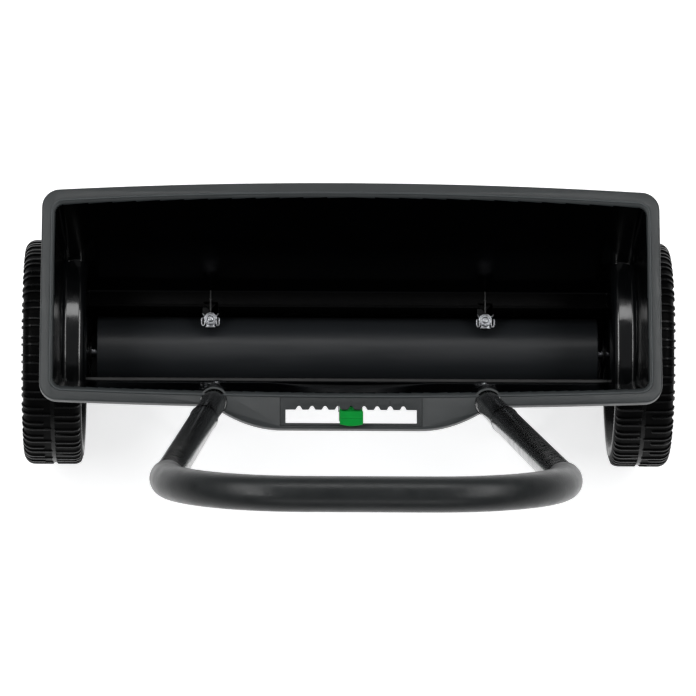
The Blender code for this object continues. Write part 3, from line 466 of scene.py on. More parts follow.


# Rim plastic: its lightened edges are partly wear, partly a painted highlight along the hopper's inner edge.
surface(
    "rim_plastic", (0.022, 0.0255, 0.0265), 0.40, grain=(1500, 0.40, 0.0003), mottle=(26, 0.14),
    edge=0.0005, specular=0.42, wear_and_highlight=0.6,
)
surface(
    "hopper_inside", (0.0006, 0.0007, 0.0009), 0.16, grain=(260, 0.10, 0.0004), mottle=(14, 0.25),
    rough_spread=0.05, edge=0.0009, specular=0.11,
)
surface(
    "scale_plastic", (0.0155, 0.0185, 0.0195), 0.45, grain=(1800, 0.35, 0.0002), mottle=(60, 0.16),
    edge=0.0003, specular=0.35,
)
surface(
    "digit_plastic", (0.006, 0.007, 0.008), 0.40, grain=(1500, 0.1, 0.0001), mottle=(60, 0.12),
    edge=0, specular=0.3,
)
# Wheel plastic: its lightened rib edges are partly wear, partly painted highlights on the rib tops.
surface(
    "wheel_plastic", (0.0010, 0.0011, 0.0012), 0.27, grain=(700, 0.25, 0.0003), mottle=(30, 0.25),
    edge=0.00025, specular=0.12, wear_and_highlight=0.8,
)
surface(
    "roller_plastic", (0.0135, 0.0152, 0.0172), 0.42, grain=(1100, 0.25, 0.0002), mottle=(22, 0.12),
    streak=(0.15, 1.0, 1.0), edge=0.0006, specular=0.32,
)
surface(
    "green_plastic", (0.0010, 0.245, 0.032), 0.42, grain=(900, 0.15, 0.0002), mottle=(70, 0.12),
    edge=0.0004, specular=0.10,
)
# Pointer: the knob's green made lighter, on a thin arrow at the knob's shelf.
surface(
    "pointer_pale_green", (0.020, 0.36, 0.075), 0.45, grain=(900, 0.1, 0.0001), mottle=(70, 0.08),
    edge=0, specular=0.1,
)
surface(
    "black_tube", (0.0045, 0.0048, 0.0050), 0.19, grain=(420, 0.10, 0.0002), mottle=(20, 0.2),
    rough_spread=0.04, edge=0.0004, coat=0.12,
)
surface(
    "grip_vinyl", (0.0110, 0.0124, 0.0128), 0.36, grain=(620, 0.30, 0.0004), mottle=(24, 0.14),
    edge=0.0005, specular=0.30,
)
surface(
    "zinc_steel", (0.40, 0.41, 0.43), 0.30, metallic=1.0, grain=(1300, 0.10, 0.0001),
    mottle=(90, 0.10), rough_spread=0.08, edge=0.0002, streak=(0.3, 1.0, 1.0),
)
# Bead plastic: the rim plastic made about twice as light, a painted highlight along the hopper's inner edge.
surface(
    "bead_highlight_plastic", (0.042, 0.048, 0.050), 0.46, grain=(900, 0.15, 0.0002), mottle=(40, 0.12),
    edge=0, specular=0.45,
)
# Arch plastic: the inside plastic made about three times lighter and much glossier over the wheel arches, a
# painted highlight for their streaks.
surface(
    "arch_highlight_plastic", (0.0020, 0.0023, 0.0027), 0.14, grain=(260, 0.10, 0.0003), mottle=(14, 0.25),
    rough_spread=0.04, edge=0.0010, specular=0.60,
)
# Tread valley: a darker, duller copy of the wheel plastic for the faces between the ribs, painted shade in
# the tread's recesses.
surface(
    "tread_valley_shade", (0.0005, 0.0005, 0.0006), 0.50, grain=(700, 0.25, 0.0003), mottle=(30, 0.25),
    edge=0.0002, specular=0.04,
)
surface(
    "seal_rubber", (0.0008, 0.0008, 0.0009), 0.55, grain=(800, 0.25, 0.0003), mottle=(40, 0.30),
    edge=0.0003, specular=0.05,
)
# Rib rubber: the seal rubber made about twenty times lighter and glossier, a painted highlight along the thin
# ribs and their knots.
surface(
    "rib_highlight_rubber", (0.016, 0.016, 0.016), 0.40, grain=(800, 0.15, 0.0002), mottle=(60, 0.20),
    edge=0, specular=0.40,
)
surface(
    "rubber", (0.008, 0.008, 0.008), 0.70, grain=(800, 0.35, 0.0004), mottle=(40, 0.20), edge=0.0005,
    specular=0.3,
)
surface(
    "bush_nylon", (0.030, 0.030, 0.029), 0.42, grain=(900, 0.15, 0.0002), mottle=(60, 0.10), edge=0.0003
)


# ---------------------------------------------------------------- hopper


def bow(x, half, depth):
    return depth * (1.0 - (x / half) ** 2)


def spread(half, count):
    return [half * (2 * i / (count - 1) - 1) for i in range(count)]


def closed_outline(half, front, rear, corner, counts):
    """Anticlockwise outline with rounded corners. counts is (front, rear, corner, side) points."""
    front_count, rear_count, corner_steps, side_count = counts
    edge = half - corner
    side_low, side_high = rear(edge) + corner, front(edge) - corner
    heights = [side_low + (side_high - side_low) * (i + 1) / (side_count + 1) for i in range(side_count)]
    points = [(half, y) for y in heights]
    points += arc((edge, front(edge) - corner), corner, 0, 90, corner_steps)
    points += [(x, front(x)) for x in spread(edge, front_count)[-2:0:-1]]
    points += arc((-edge, front(edge) - corner), corner, 90, 180, corner_steps)
    points += [(-half, y) for y in heights[::-1]]
    points += arc((-edge, rear(edge) + corner), corner, 180, 270, corner_steps)
    points += [(x, rear(x)) for x in spread(edge, rear_count)[1:-1]]
    points += arc((edge, rear(edge) + corner), corner, 270, 360, corner_steps)
    return points


def rim_rear(x):
    """Rear edge of the flange with its tab."""
    edge = -RIM_DEPTH / 2 - bow(x, RIM_WIDTH / 2, REAR_BOW)
    if abs(x) >= TAB_JOIN:
        return edge
    past = max(0.0, abs(x) - TAB_FLAT_HALF)
    return min(edge, TAB_REAR + TAB_CURVE * past * past)


def rim_ring(z, inset):
    outline = closed_outline(
        RIM_WIDTH / 2 - inset,
        lambda x: RIM_DEPTH / 2 + bow(x, RIM_WIDTH / 2, FRONT_BOW) - inset,
        lambda x: rim_rear(x) + inset,
        RIM_CORNER - inset,
        (33, 97, 8, 3),
    )
    return [(x, y, z) for x, y in outline]


def rear_wall(z):
    """Inner face of the rear wall: its place, its bow and its middle sag."""
    rim_inner = -RIM_DEPTH / 2 + FLANGE_WIDTH
    if z >= KNEE_TOP:
        share = (z - KNEE_TOP) / (RIM_TOP - KNEE_TOP)
        return KNEE_REAR + (rim_inner - KNEE_REAR) * share, REAR_BOW * share, KNEE_SAG * (1.0 - share)
    share = (z - LEDGE_TOP) / (KNEE_TOP - LEDGE_TOP)
    return THROAT_REAR + (KNEE_REAR - THROAT_REAR) * share, 0.0, KNEE_SAG * share


def eased_rear_wall(z):
    """The rear wall with its knee rounded over 3 mm each way."""
    samples = [rear_wall(z + step) for step in (-0.003, -0.001, 0.001, 0.003)]
    return [sum(values) / len(values) for values in zip(*samples)]


def side_and_front(level):
    """Inner faces at a height: the sides' half width, the front wall's place and its bow."""
    share = smoothstep(0.17, RIM_TOP + 0.03, level)
    half = SIDE_LOW_HALF + (SIDE_TOP_HALF - SIDE_LOW_HALF) * share * 1.05
    front = RIM_DEPTH / 2 - FLANGE_WIDTH - 0.001 - FRONT_SLOPE * (RIM_TOP - level)
    return half, front, FRONT_BOW * (level - LEDGE_TOP) / (RIM_TOP - LEDGE_TOP)


def wall_ring(z, offset, counts=(25, 49, 5, 3)):
    level = min(max(z, LEDGE_TOP), RIM_TOP)
    half, front_base, front_bow = side_and_front(level)
    rear_base, rear_bow, sag = eased_rear_wall(level) if 0.152 < level < 0.299 else rear_wall(level)

    def rear(x):
        middle = max(0.0, 1.0 - (x / KNEE_SAG_HALF) ** 2) ** 1.3
        return rear_base - bow(x, half, rear_bow) - sag * middle - offset

    outline = closed_outline(
        half + offset, lambda x: front_base + bow(x, half, front_bow) + offset, rear, 0.008 + offset, counts
    )
    return [(x, y, z) for x, y in outline]


def tube_axis(along, side=1.0):
    return (
        side * (TUBE_SPACING_HALF + TUBE_SPLAY * along),
        HANDLE_REAR - sin(HANDLE_LEAN) * along,
        RIM_TOP + cos(HANDLE_LEAN) * along,
    )


def arch_solid(name, radius, face, side, nose, flare):
    """Wheel arch: a drum with a rounded nose, flared where it meets the side wall."""
    profile = [(0.0, face)]
    profile += [(radius - nose + a, face + nose + b) for a, b in arc((0, 0), nose, -90, 0, 6)]
    if flare:
        wall = SIDE_LOW_HALF + 0.0012
        profile += [(radius + flare + a, wall - flare + b) for a, b in arc((0, 0), flare, 180, 90, 5)]
        profile += [(radius + flare, 0.300), (0.0, 0.300)]
    else:
        profile += [(radius, 0.300), (0.0, 0.300)]
    matrix = Matrix.Translation((0, 0, AXLE_Z)) @ Matrix.Rotation(side * pi / 2, 4, "Y")
    return spun(name, profile, 112, matrix)


def socket_solid(name, radius, start, end, side):
    """Round-ended boss round the bottom of a handle tube."""
    length = Vector(tube_axis(end, side)) - Vector(tube_axis(start, side))
    nose = 0.004
    profile = [(0.0, 0.0)] + [(radius - nose + a, nose + b) for a, b in arc((0, 0), nose, -90, 0, 4)]
    profile += [(radius, length.length), (0.0, length.length)]
    return spun(name, profile, 40, Matrix.Translation(tube_axis(start, side)) @ pointed(length))


def hopper_cavity():
    """The space inside, with rounded floor corners and a rolled top edge."""
    rings = [wall_ring(LEDGE_TOP, -0.0030), wall_ring(0.1485, -0.0012), wall_ring(0.1500, -0.0003)]
    rings += [wall_ring(z, 0.0) for z in (0.153, 0.200, 0.240, 0.262, 0.265, 0.267, 0.269, 0.271, 0.274)]
    rings += [wall_ring(0.2985, 0.0), wall_ring(0.3003, 0.0), wall_ring(0.3014, 0.0003)]
    rings += [wall_ring(0.3022, 0.0009), wall_ring(0.3027, 0.0016), wall_ring(0.3030, 0.0026)]
    rings += [wall_ring(0.3110, 0.0027)]
    steps = []
    for side in (-1.0, 1.0):
        arch = arch_solid("arch", ARCH_RADIUS + WALL, ARCH_FACE - WALL, side, 0.0085, 0.0045)
        socket = socket_solid("socket", SOCKET_RADIUS + SOCKET_WALL, LOWER_END - 0.012, 0.040, side)
        steps += [("DIFFERENCE", arch), ("DIFFERENCE", socket)]
    return carved("cavity", loft("cavity", rings), steps)


def is_on_arch(centre):
    """True for a face on the bulge over a wheel, in the hopper's frame."""
    away = hypot(centre.y, centre.z - AXLE_Z)
    return abs(centre.x) > ARCH_FACE - WALL + 0.0004 and away < ARCH_RADIUS + 0.0085


def is_inside_hopper(centre):
    """True for a face of the glossy inner surface, in the hopper's frame."""
    if centre.z > RIM_TOP - 0.0022:
        return False
    level = min(max(centre.z, LEDGE_TOP), RIM_TOP)
    half, front, front_bow = side_and_front(level)
    front += bow(centre.x, half, front_bow)
    base, rear_bow, sag = rear_wall(level)
    rear = base - bow(centre.x, half, rear_bow)
    rear -= sag * max(0.0, 1.0 - (centre.x / KNEE_SAG_HALF) ** 2) ** 1.3
    slack = 0.0009
    if centre.z < LEDGE_TOP - 0.001:
        return abs(centre.y) < HOUSING_HALF - 0.0006 and abs(centre.x) < ARCH_FACE - 0.001
    return abs(centre.x) < half + slack and rear - slack < centre.y < front + slack


def build_hopper():
    rim = loft(
        "rim",
        [
            rim_ring(RIM_TOP - LIP_HEIGHT, 0.0007),
            rim_ring(RIM_TOP - LIP_HEIGHT + 0.0006, 0.0001),
            rim_ring(RIM_TOP - 0.0014, 0.0),
            rim_ring(RIM_TOP - 0.0008, 0.0002),
            rim_ring(RIM_TOP - 0.0003, 0.0006),
            rim_ring(RIM_TOP, 0.0014),
        ],
    )
    under = loft(
        "under",
        [rim_ring(RIM_TOP - 0.02, LIP_THICKNESS), rim_ring(RIM_TOP - FLANGE_THICKNESS, LIP_THICKNESS)],
    )
    wall_levels = (0.1445, 0.200, 0.240, 0.262, 0.265, 0.268, 0.271, 0.274, 0.2985, 0.3015)
    walls = loft("walls", [wall_ring(z, WALL) for z in wall_levels])
    past_arch = ARCH_FACE + 0.005
    housing = block("housing", (-past_arch, -HOUSING_HALF, HOUSING_BOTTOM), (past_arch, HOUSING_HALF, 0.1475))
    front_lip = block("lip", (-0.236, 0.030, HOUSING_BOTTOM), (0.236, 0.050, 0.0975), 0.0008, 2)
    boss = rod("boss", 0.0070, (0, 0.0017, 0), (0, 0.0290, 0), 40)
    boss.transform(TO_ROW.inverted() @ LEVER_TO_ROW)
    steps = [
        ("DIFFERENCE", under),
        ("UNION", walls),
        ("UNION", housing),
        ("UNION", front_lip),
        ("UNION", boss),
    ]
    # Ribs across the outside of the front and rear walls
    for x in (-0.186, -0.062, 0.062, 0.186):
        rib = block("rib", (x - 0.0011, 0.040, 0.150), (x + 0.0011, 0.0560, 0.1900), 0.0004, 1)
        steps.append(("UNION", rib))
    for side in (-1.0, 1.0):
        steps.append(("DIFFERENCE", arch_solid("arch", ARCH_RADIUS, ARCH_FACE, side, 0.006, 0.0)))
        tube = rod("tube", SOCKET_RADIUS, tube_axis(LOWER_END - 0.009, side), tube_axis(0.060, side), 56)
        steps.append(("DIFFERENCE", tube))
    end = ARCH_FACE - WALL
    chamber = rod("chamber", CHAMBER_HALF + 0.0006, (-end, 0, AXLE_Z), (end, 0, AXLE_Z), 96)
    throat = block(
        "throat", (0.0001 - end, -CHAMBER_HALF, AXLE_Z), (end - 0.0001, LEDGE_EDGE, LEDGE_TOP + 0.001)
    )
    below = block(
        "below",
        (0.0002 - end, -CHAMBER_HALF + 0.0001, HOUSING_BOTTOM - 0.01),
        (end - 0.0002, CHAMBER_HALF - 0.0001, AXLE_Z + 0.002),
    )
    bush_seats = rod("bush_seats", BUSH_SEAT_RADIUS, (-0.26, 0, AXLE_Z), (0.26, 0, AXLE_Z), 48)
    steps += [("DIFFERENCE", tool) for tool in (hopper_cavity(), chamber, throat, below, bush_seats)]
    for side in (-1.0, 1.0):
        x = side * CLIP_HALF
        lug = rod("lug", 0.0075, (x, CLIP_FORWARD, 0.1435), (x, CLIP_FORWARD, LEDGE_TOP), 40)
        root_high = (x + 0.0074, 0.0415, LEDGE_TOP - 0.00015)
        steps += [("UNION", lug), ("UNION", block("root", (x - 0.0074, CLIP_FORWARD, 0.1436), root_high))]
    pocket = block(
        "pocket",
        (-SCALE_HALF - 0.0003, SCALE_REAR - 0.0003, RIM_TOP - SCALE_THICKNESS - 0.0005),
        (SCALE_HALF + 0.0003, SCALE_FRONT + 0.0003, RIM_TOP + 0.005),
    )
    opening = block("opening", (-0.0605, -0.1199, RIM_TOP - 0.012), (0.0605, -0.1008, RIM_TOP + 0.005))
    steps += [("DIFFERENCE", pocket), ("DIFFERENCE", opening)]
    mesh = carved("hopper_shell", rim, steps)
    mesh.materials.clear()
    for name in ("rim_plastic", "hopper_inside", "arch_highlight_plastic"):
        mesh.materials.append(MATERIALS[name])
    # Faces over the wheel arches take the lighter, glossier copy of the inside plastic: painted highlight.
    for face in mesh.polygons:
        if is_inside_hopper(face.center):
            face.material_index = 2 if is_on_arch(face.center) else 1
    shown("hopper_shell", mesh, FIXED, None, ("hopper",), sharp=32)


def build_seal():
    """Thin strip on the ledge, its down-turned edge, and a ribbed tongue under each clip."""
    half, low, high = 0.2405, 0.1484, 0.1498
    edge = LEDGE_EDGE
    parts = [
        block("flat", (-half, edge + 0.0005, low), (half, 0.0465, high), 0.0003, 2),
        block("turn", (-half, edge - 0.0016, 0.1280), (half, edge - 0.0003, high - 0.0002), 0.0003, 2),
        block("lap", (-half, edge - 0.0012, low + 0.0001), (half, edge + 0.0020, high - 0.0003)),
    ]
    ribs = []
    for side in (-1.0, 1.0):
        x = side * CLIP_HALF
        lobe = [(x + 0.0074 * cos(t), CLIP_FORWARD + 0.0074 * sin(t)) for t in half_turn(24)]
        tongue = [*lobe, (x - 0.0074, edge + 0.0030), (x + 0.0074, edge + 0.0030)]
        parts.append(sheet("tongue", [tongue[::-1]], low, high, 0.0003, 2))
        rib_low = (x - 0.0007, CLIP_FORWARD + 0.0067, high - 0.0004)
        ribs.append(block("rib", rib_low, (x + 0.0007, 0.0480, high + 0.0011), 0.0003, 3))
        knot = [(0.0, 0.0013), (0.0007, 0.0011), (0.0012, 0.0006), (0.0013, 0.0), (0.0, 0.0)]
        spot = Matrix.Translation((x, CLIP_FORWARD + 0.0195, high + 0.0003))
        ribs.append(spun("knot", knot, 20, spot))
    shown("seal_flap", merged("seal", parts), FIXED, "seal_rubber", ("seal_strip",))
    # Ribs and knots take the lighter copy of the seal rubber: painted highlight.
    shown("seal_ribs", merged("ribs", ribs), FIXED, "rib_highlight_rubber", ())


def half_turn(count):
    """Angles from straight left round the rear to straight right, for the lobe's outline."""
    return [pi + pi * k / count for k in range(count + 1)]


def rim_bead():
    """Rolled bead round the mouth of the hopper."""
    path = [Vector(p) for p in wall_ring(RIM_TOP + 0.0001, BEAD_OFFSET, (49, 97, 9, 9))]
    count, sides, radius = len(path), 12, BEAD_RADIUS
    bm = bmesh.new()
    rings = []
    for i, point in enumerate(path):
        along = (path[(i + 1) % count] - path[i - 1]).normalized()
        out = along.cross(Vector((0, 0, 1)))
        ring = []
        for k in range(sides):
            angle = 2 * pi * k / sides
            lift = Vector((0, 0, radius * sin(angle)))
            ring.append(bm.verts.new(point + out * radius * cos(angle) + lift))
        rings.append(ring)
    skin(bm, rings + rings[:1])
    # The bead takes the lighter copy of the rim plastic: painted highlight.
    shown("rim_bead", finished("bead", bm), FIXED, "bead_highlight_plastic", ())


def socket_shade_sleeves():
    """Dark sleeve low in each socket that closes the gap round the tube: painted shade for that gap."""
    for word, side in SIDES:
        start, end = Vector(tube_axis(-0.050, side)), Vector(tube_axis(-0.016, side))
        length = (end - start).length
        sleeve = [(0.01125, 0.0), (0.0124, 0.0), (0.0124, length), (0.0118, length + 0.0006)]
        sleeve.append((0.01125, length))
        shade_sleeve = spun("shade_sleeve", sleeve, 56, Matrix.Translation(start) @ pointed(end - start))
        # Dark sleeve set in the socket's gap: painted shade.
        shown(f"{word}_socket_shade_sleeve", shade_sleeve, FIXED, "seal_rubber", ())


def build_scale():
    """Flush plate with its nine notches, and the small figures that go with them."""
    outer = [
        (-SCALE_HALF, SCALE_REAR),
        (SCALE_HALF, SCALE_REAR),
        (SCALE_HALF, SCALE_FRONT),
        (-SCALE_HALF, SCALE_FRONT),
    ]
    shape = [(0.0036, 0.0), (0.0031, 0.04), (0.0025, 0.22), (0.0019, 0.55), (0.0013, 0.84), (0.0006, 0.97)]
    inner = [(-WINDOW_HALF, WINDOW_REAR), (WINDOW_HALF, WINDOW_REAR), (WINDOW_HALF, LAND_EDGE)]
    figures = []
    for index in reversed(range(NOTCH_COUNT)):
        x = (index - (NOTCH_COUNT - 1) / 2) * NOTCH_PITCH
        right = [(x + across, LAND_EDGE + NOTCH_DEPTH * up) for across, up in shape]
        left = [(2 * x - px, y) for px, y in right[::-1]]
        inner += [*right, (x, LAND_EDGE + NOTCH_DEPTH), *left]
        text = bpy.data.curves.new("figure", "FONT")
        text.body = str(index + 1)
        text.size = 0.0046
        text.align_x = "CENTER"
        text.extrude = 0.00008
        figures.append(mesh_of(text, Matrix.Translation((x, -0.1012, RIM_TOP - 0.00012))))
    inner.append((-WINDOW_HALF, LAND_EDGE))
    high = RIM_TOP - 0.0002
    plate = sheet("scale_face", [outer, inner], high - SCALE_THICKNESS, high, 0.00018)
    shown("scale_face", plate, FIXED, "scale_plastic", ("scale_plate",), sharp=50)
    shown("scale_figures", merged("figures", figures), FIXED, "digit_plastic", ())


def build_knob():
    """Socket and shelf under the scale, stem through the window, grooved thumb cap above it."""
    shelf = WINDOW_ALONG - 0.0060
    stem = block("stem", (-0.0099, -0.0053, shelf - 0.004), (0.0099, 0.0040, CAP_LOW + 0.0015), 0.0007)
    body = carved(
        "knob",
        block("socket", (-0.0104, -0.0054, 0.1520), (0.0104, 0.0054, shelf), 0.0009),
        [
            ("UNION", block("shelf", (-0.0103, 0.0030, shelf - 0.0080), (0.0103, 0.0095, shelf), 0.0008)),
            ("UNION", stem),
            ("DIFFERENCE", block("slot", (-0.0062, -0.0017, 0.1400), (0.0062, 0.0017, 0.1746))),
        ],
    )
    rear = [(x * 0.0105, -0.0088 + 0.0017 * x * x) for x in spread(1.0, 15)]
    outline = [*rear, (0.0105, 0.0044), (-0.0105, 0.0044)]
    cap = sheet("cap", [outline], CAP_LOW, CAP_HIGH, 0.0008, 3)
    rail_low = (-0.0096, -0.0020, CAP_HIGH - 0.0008)
    rail = block("rail", rail_low, (0.0096, -0.0008, CAP_HIGH + 0.0004), 0.0003, 2)
    knob = merged("knob", [body, cap, rail])
    shown("knob_body", knob, "rate_lever", "green_plastic", ("rate_knob",), matrix=LEVER_TO_ROW, sharp=40)
    arm = 0.00055
    arrow = [(-0.0034, 0.0052), (0.0, 0.0092), (0.0034, 0.0052)]
    arrow += [(0.0034 - 2.2 * arm, 0.0052), (0.0, 0.0078), (-0.0034 + 2.2 * arm, 0.0052)]
    pointer = sheet("pointer", [arrow], shelf - 0.0004, shelf + 0.0005, 0.0001, 1)
    # Thin arrow in a lighter green on the shelf.
    shown("knob_pointer", pointer, "rate_lever", "pointer_pale_green", (), LEVER_TO_ROW)


# ---------------------------------------------------------------- handle and stand


def handle_path(start, bend_steps=28):
    splay = atan(TUBE_SPLAY)
    turn = pi / 2 + splay
    corner = (TUBE_SPACING_HALF + TUBE_SPLAY * HANDLE_LENGTH, HANDLE_LENGTH)
    tangent = BEND_RADIUS * tan(turn / 2)
    bend_start = (corner[0] - sin(splay) * tangent, corner[1] - cos(splay) * tangent)
    centre = (bend_start[0] - cos(splay) * BEND_RADIUS, bend_start[1] + sin(splay) * BEND_RADIUS)
    run = []
    count = max(2, int((bend_start[1] - start) / 0.02))
    for i in range(count):
        along = start + (bend_start[1] - start) * i / count
        run.append((TUBE_SPACING_HALF + TUBE_SPLAY * along, along))
    return run + arc(centre, BEND_RADIUS, -degrees(splay), 90, bend_steps), bend_start[1]


def whole_path(start):
    right, _ = handle_path(start)
    flat = [(x, 0.0, along) for x, along in right]
    middle = [(flat[-1][0] * k / 4, 0.0, flat[-1][2]) for k in (3, 2, 1, 0)]
    half = flat + middle
    return [(-x, y, z) for x, y, z in half] + half[-2::-1]


def build_handle():
    upper = whole_path(JOINT_AT + 0.0005)
    first, last = Vector(upper[0]), Vector(upper[1])
    mouth = [tuple(first.lerp(last, share)) for share in (0.0, 0.02, 0.06, 0.12, 0.20, 0.30)]
    flare = [UPPER_TUBE_RADIUS - 0.0002]
    flare += [UPPER_TUBE_RADIUS + more for more in (0.0004, 0.0006, 0.0005, 0.0002, 0.0)]
    upper = [*mouth, *upper[1:-1], *[(-x, y, z) for x, y, z in mouth[::-1]]]
    radii = [*flare, *[UPPER_TUBE_RADIUS] * (len(upper) - 2 * len(flare)), *flare[::-1]]
    tube = swept("upper_tube", upper, radii, 48, 0.0009)
    shown("upper_tube", tube, FIXED, "black_tube", ("upper_handle",), matrix=HANDLE_TO_ROW)

    _, bend_start = handle_path(0.3)
    path = whole_path(bend_start - 0.004)
    radii = [GRIP_RADIUS] * len(path)
    for i, less in enumerate((0.0007, 0.0002)):
        radii[i] -= less
        radii[-1 - i] -= less
    sleeve = swept("grip_sleeve", path, radii, 56, 0.0011)
    shown("grip_sleeve", sleeve, FIXED, "grip_vinyl", ("handle_grip",), matrix=HANDLE_TO_ROW)

    for word, side in SIDES:
        stops = [
            (LOWER_END, LOWER_TUBE_RADIUS - 0.0003),
            (LOWER_END + 0.0006, LOWER_TUBE_RADIUS),
            (0.02, LOWER_TUBE_RADIUS),
            (0.10, LOWER_TUBE_RADIUS),
            (JOINT_AT - 0.0050, LOWER_TUBE_RADIUS),
            (JOINT_AT - 0.0030, LOWER_TUBE_RADIUS - 0.0002),
            (JOINT_AT - 0.0012, 0.0106),
            (JOINT_AT, 0.0104),
            (JOINT_AT + 0.0496, 0.0104),
            (JOINT_AT + 0.0500, 0.0101),
        ]
        points = [(side * (TUBE_SPACING_HALF + TUBE_SPLAY * a), 0.0, a) for a, _ in stops]
        tube = swept(f"{word}_tube", points, [r for _, r in stops], 48, 0.0011)
        shown(f"{word}_tube_low", tube, FIXED, "black_tube", (f"{word}_lower_tube",), matrix=HANDLE_TO_ROW)
        lean = Matrix.Rotation(side * atan(TUBE_SPLAY), 4, "Y")
        spot = Matrix.Translation((side * (TUBE_SPACING_HALF + TUBE_SPLAY * 0.176), 0, 0.176))
        button = [(0.0, 0.0)] + [(0.0034 * a, 0.0022 * b) for a, b in arc((0, 0), 1.0, 88, 0, 6)]
        button = [(0.0, 0.0137), *[(a, 0.0112 + b) for a, b in button[1:]], (0.0034, 0.0100), (0.0, 0.0100)]
        turn = HANDLE_TO_ROW @ spot @ lean @ Matrix.Rotation(pi / 2, 4, "X")
        shown(f"{word}_snap_button", spun("b", button, 32), FIXED, "zinc_steel", matrix=turn)


def bolt_mesh(head_radius, head_height, shaft_radius, length, recess):
    """Pan-head screw pointing up, with a cross recess or a plain domed head."""
    dome = [
        (0.0, head_height),
        (head_radius * 0.45, head_height * 0.97),
        (head_radius * 0.75, head_height * 0.82),
        (head_radius * 0.93, head_height * 0.55),
        (head_radius, head_height * 0.25),
        (head_radius * 0.985, 0.0),
        (shaft_radius, 0.0),
        (shaft_radius, -length),
        (0.0, -length),
    ]
    mesh = spun("screw", dome, 48)
    if recess:
        arm, wide = head_radius * 0.52, head_radius * 0.11
        deep = head_height * 0.30
        first = block("cross", (-arm, -wide, deep), (arm, wide, head_height + 0.001))
        second = block("cross", (-wide, -arm, deep), (wide, arm, head_height + 0.001))
        mesh = carved("screw", mesh, [("DIFFERENCE", first), ("DIFFERENCE", second)])
    return mesh


def build_bolts():
    for word, side in SIDES:
        middle = Vector((side * (TUBE_SPACING_HALF + TUBE_SPLAY * BOLT_AT), -0.0115, BOLT_AT))
        turn = HANDLE_TO_ROW @ Matrix.Translation(middle) @ Matrix.Rotation(pi / 2, 4, "X")
        mesh = bolt_mesh(0.0048, 0.0020, 0.0025, 0.0265, True)
        shown(f"{word}_tube_screw", mesh, FIXED, "zinc_steel", (f"{word}_tube_bolt",), matrix=turn)
    for index in range(4):
        low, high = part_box(f"tray_screw_{index + 1}")
        spot = Matrix.Translation(((low[0] + high[0]) / 2, (low[1] + high[1]) / 2, 0.0912))
        turn = spot @ Matrix.Rotation(pi, 4, "X")
        mesh = bolt_mesh(0.0040, 0.0024, 0.0020, 0.0090, True)
        replaced = (f"tray_screw_{index + 1}",)
        shown(f"tray_fixing_{index + 1}", mesh, FIXED, "zinc_steel", replaced, matrix=turn)


def build_stand():
    for word, side in SIDES:
        low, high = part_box(f"{word}_foot")
        foot_x = (low[0] + high[0]) / 2
        foot_y = (low[1] + high[1]) / 2 - AXLE_Y
        inside = Vector(tube_axis(LOWER_END + 0.015, side))
        mouth = Vector(tube_axis(LOWER_END - 0.006, side))
        knee = mouth + (mouth - inside).normalized() * 0.004
        above = Vector((foot_x, foot_y, 0.034))
        ground = Vector((foot_x, foot_y, 0.0050))
        straight = [mouth.lerp(above, 0.22), mouth.lerp(above, 0.90)]
        run = smooth_run([inside, mouth, knee, *straight, above + Vector((0, 0, -0.004)), ground])
        leg = swept(f"{word}_leg", run, [0.0030] * len(run), 28)
        shown(f"{word}_leg_wire", leg, FIXED, "zinc_steel", (f"{word}_stand_leg",))
        wide = (high[0] - low[0]) / 2
        outside = [(0.0, 0.0), (0.90, 0.0), (0.97, 0.0004), (1.0, 0.0014), (0.97, 0.0046), (0.93, 0.0052)]
        outside += [(0.95, 0.0060), (0.86, 0.0104), (0.82, 0.0110), (0.80, 0.0148), (0.72, 0.0160)]
        profile = [(wide * share, height) for share, height in outside]
        profile += [(0.0034, 0.0160), (0.0034, 0.0045), (0.0, 0.0045)]
        spot = Matrix.Translation((foot_x, foot_y + AXLE_Y, 0))
        shown(f"{word}_foot_pad", spun("pad", profile, 48), FIXED, "rubber", (f"{word}_foot",), matrix=spot)


def smooth_run(points, steps=10):
    """Catmull-Rom curve through points."""
    points = [Vector(p) for p in points]
    padded = [points[0] * 2 - points[1], *points, points[-1] * 2 - points[-2]]
    run = []
    for a, b, c, d in zip(padded, padded[1:], padded[2:], padded[3:]):
        for i in range(steps):
            t = i / steps
            bend = (2 * a - 5 * b + 4 * c - d) * t * t + (3 * b - a - 3 * c + d) * t * t * t
            run.append(0.5 * ((2 * b) + (c - a) * t + bend))
    return run + [points[-1]]


# ---------------------------------------------------------------- roller, wheels and clips


def build_roller():
    half, radius = ROLLER_HALF, ROLLER_RADIUS
    shell = [
        (radius - 0.0020, -half),
        (radius - 0.0005, -half),
        (radius, -half + 0.0006),
        (radius, half - 0.0006),
        (radius - 0.0005, half),
        (radius - 0.0020, half),
    ]
    turn = Matrix.Translation((0, AXLE_Y, AXLE_Z)) @ Matrix.Rotation(pi / 2, 4, "Y")
    tube = spun("roller", shell, 128)
    shown("roller_tube", tube, "axle_assembly", "roller_plastic", ("feed_roller",), matrix=turn)


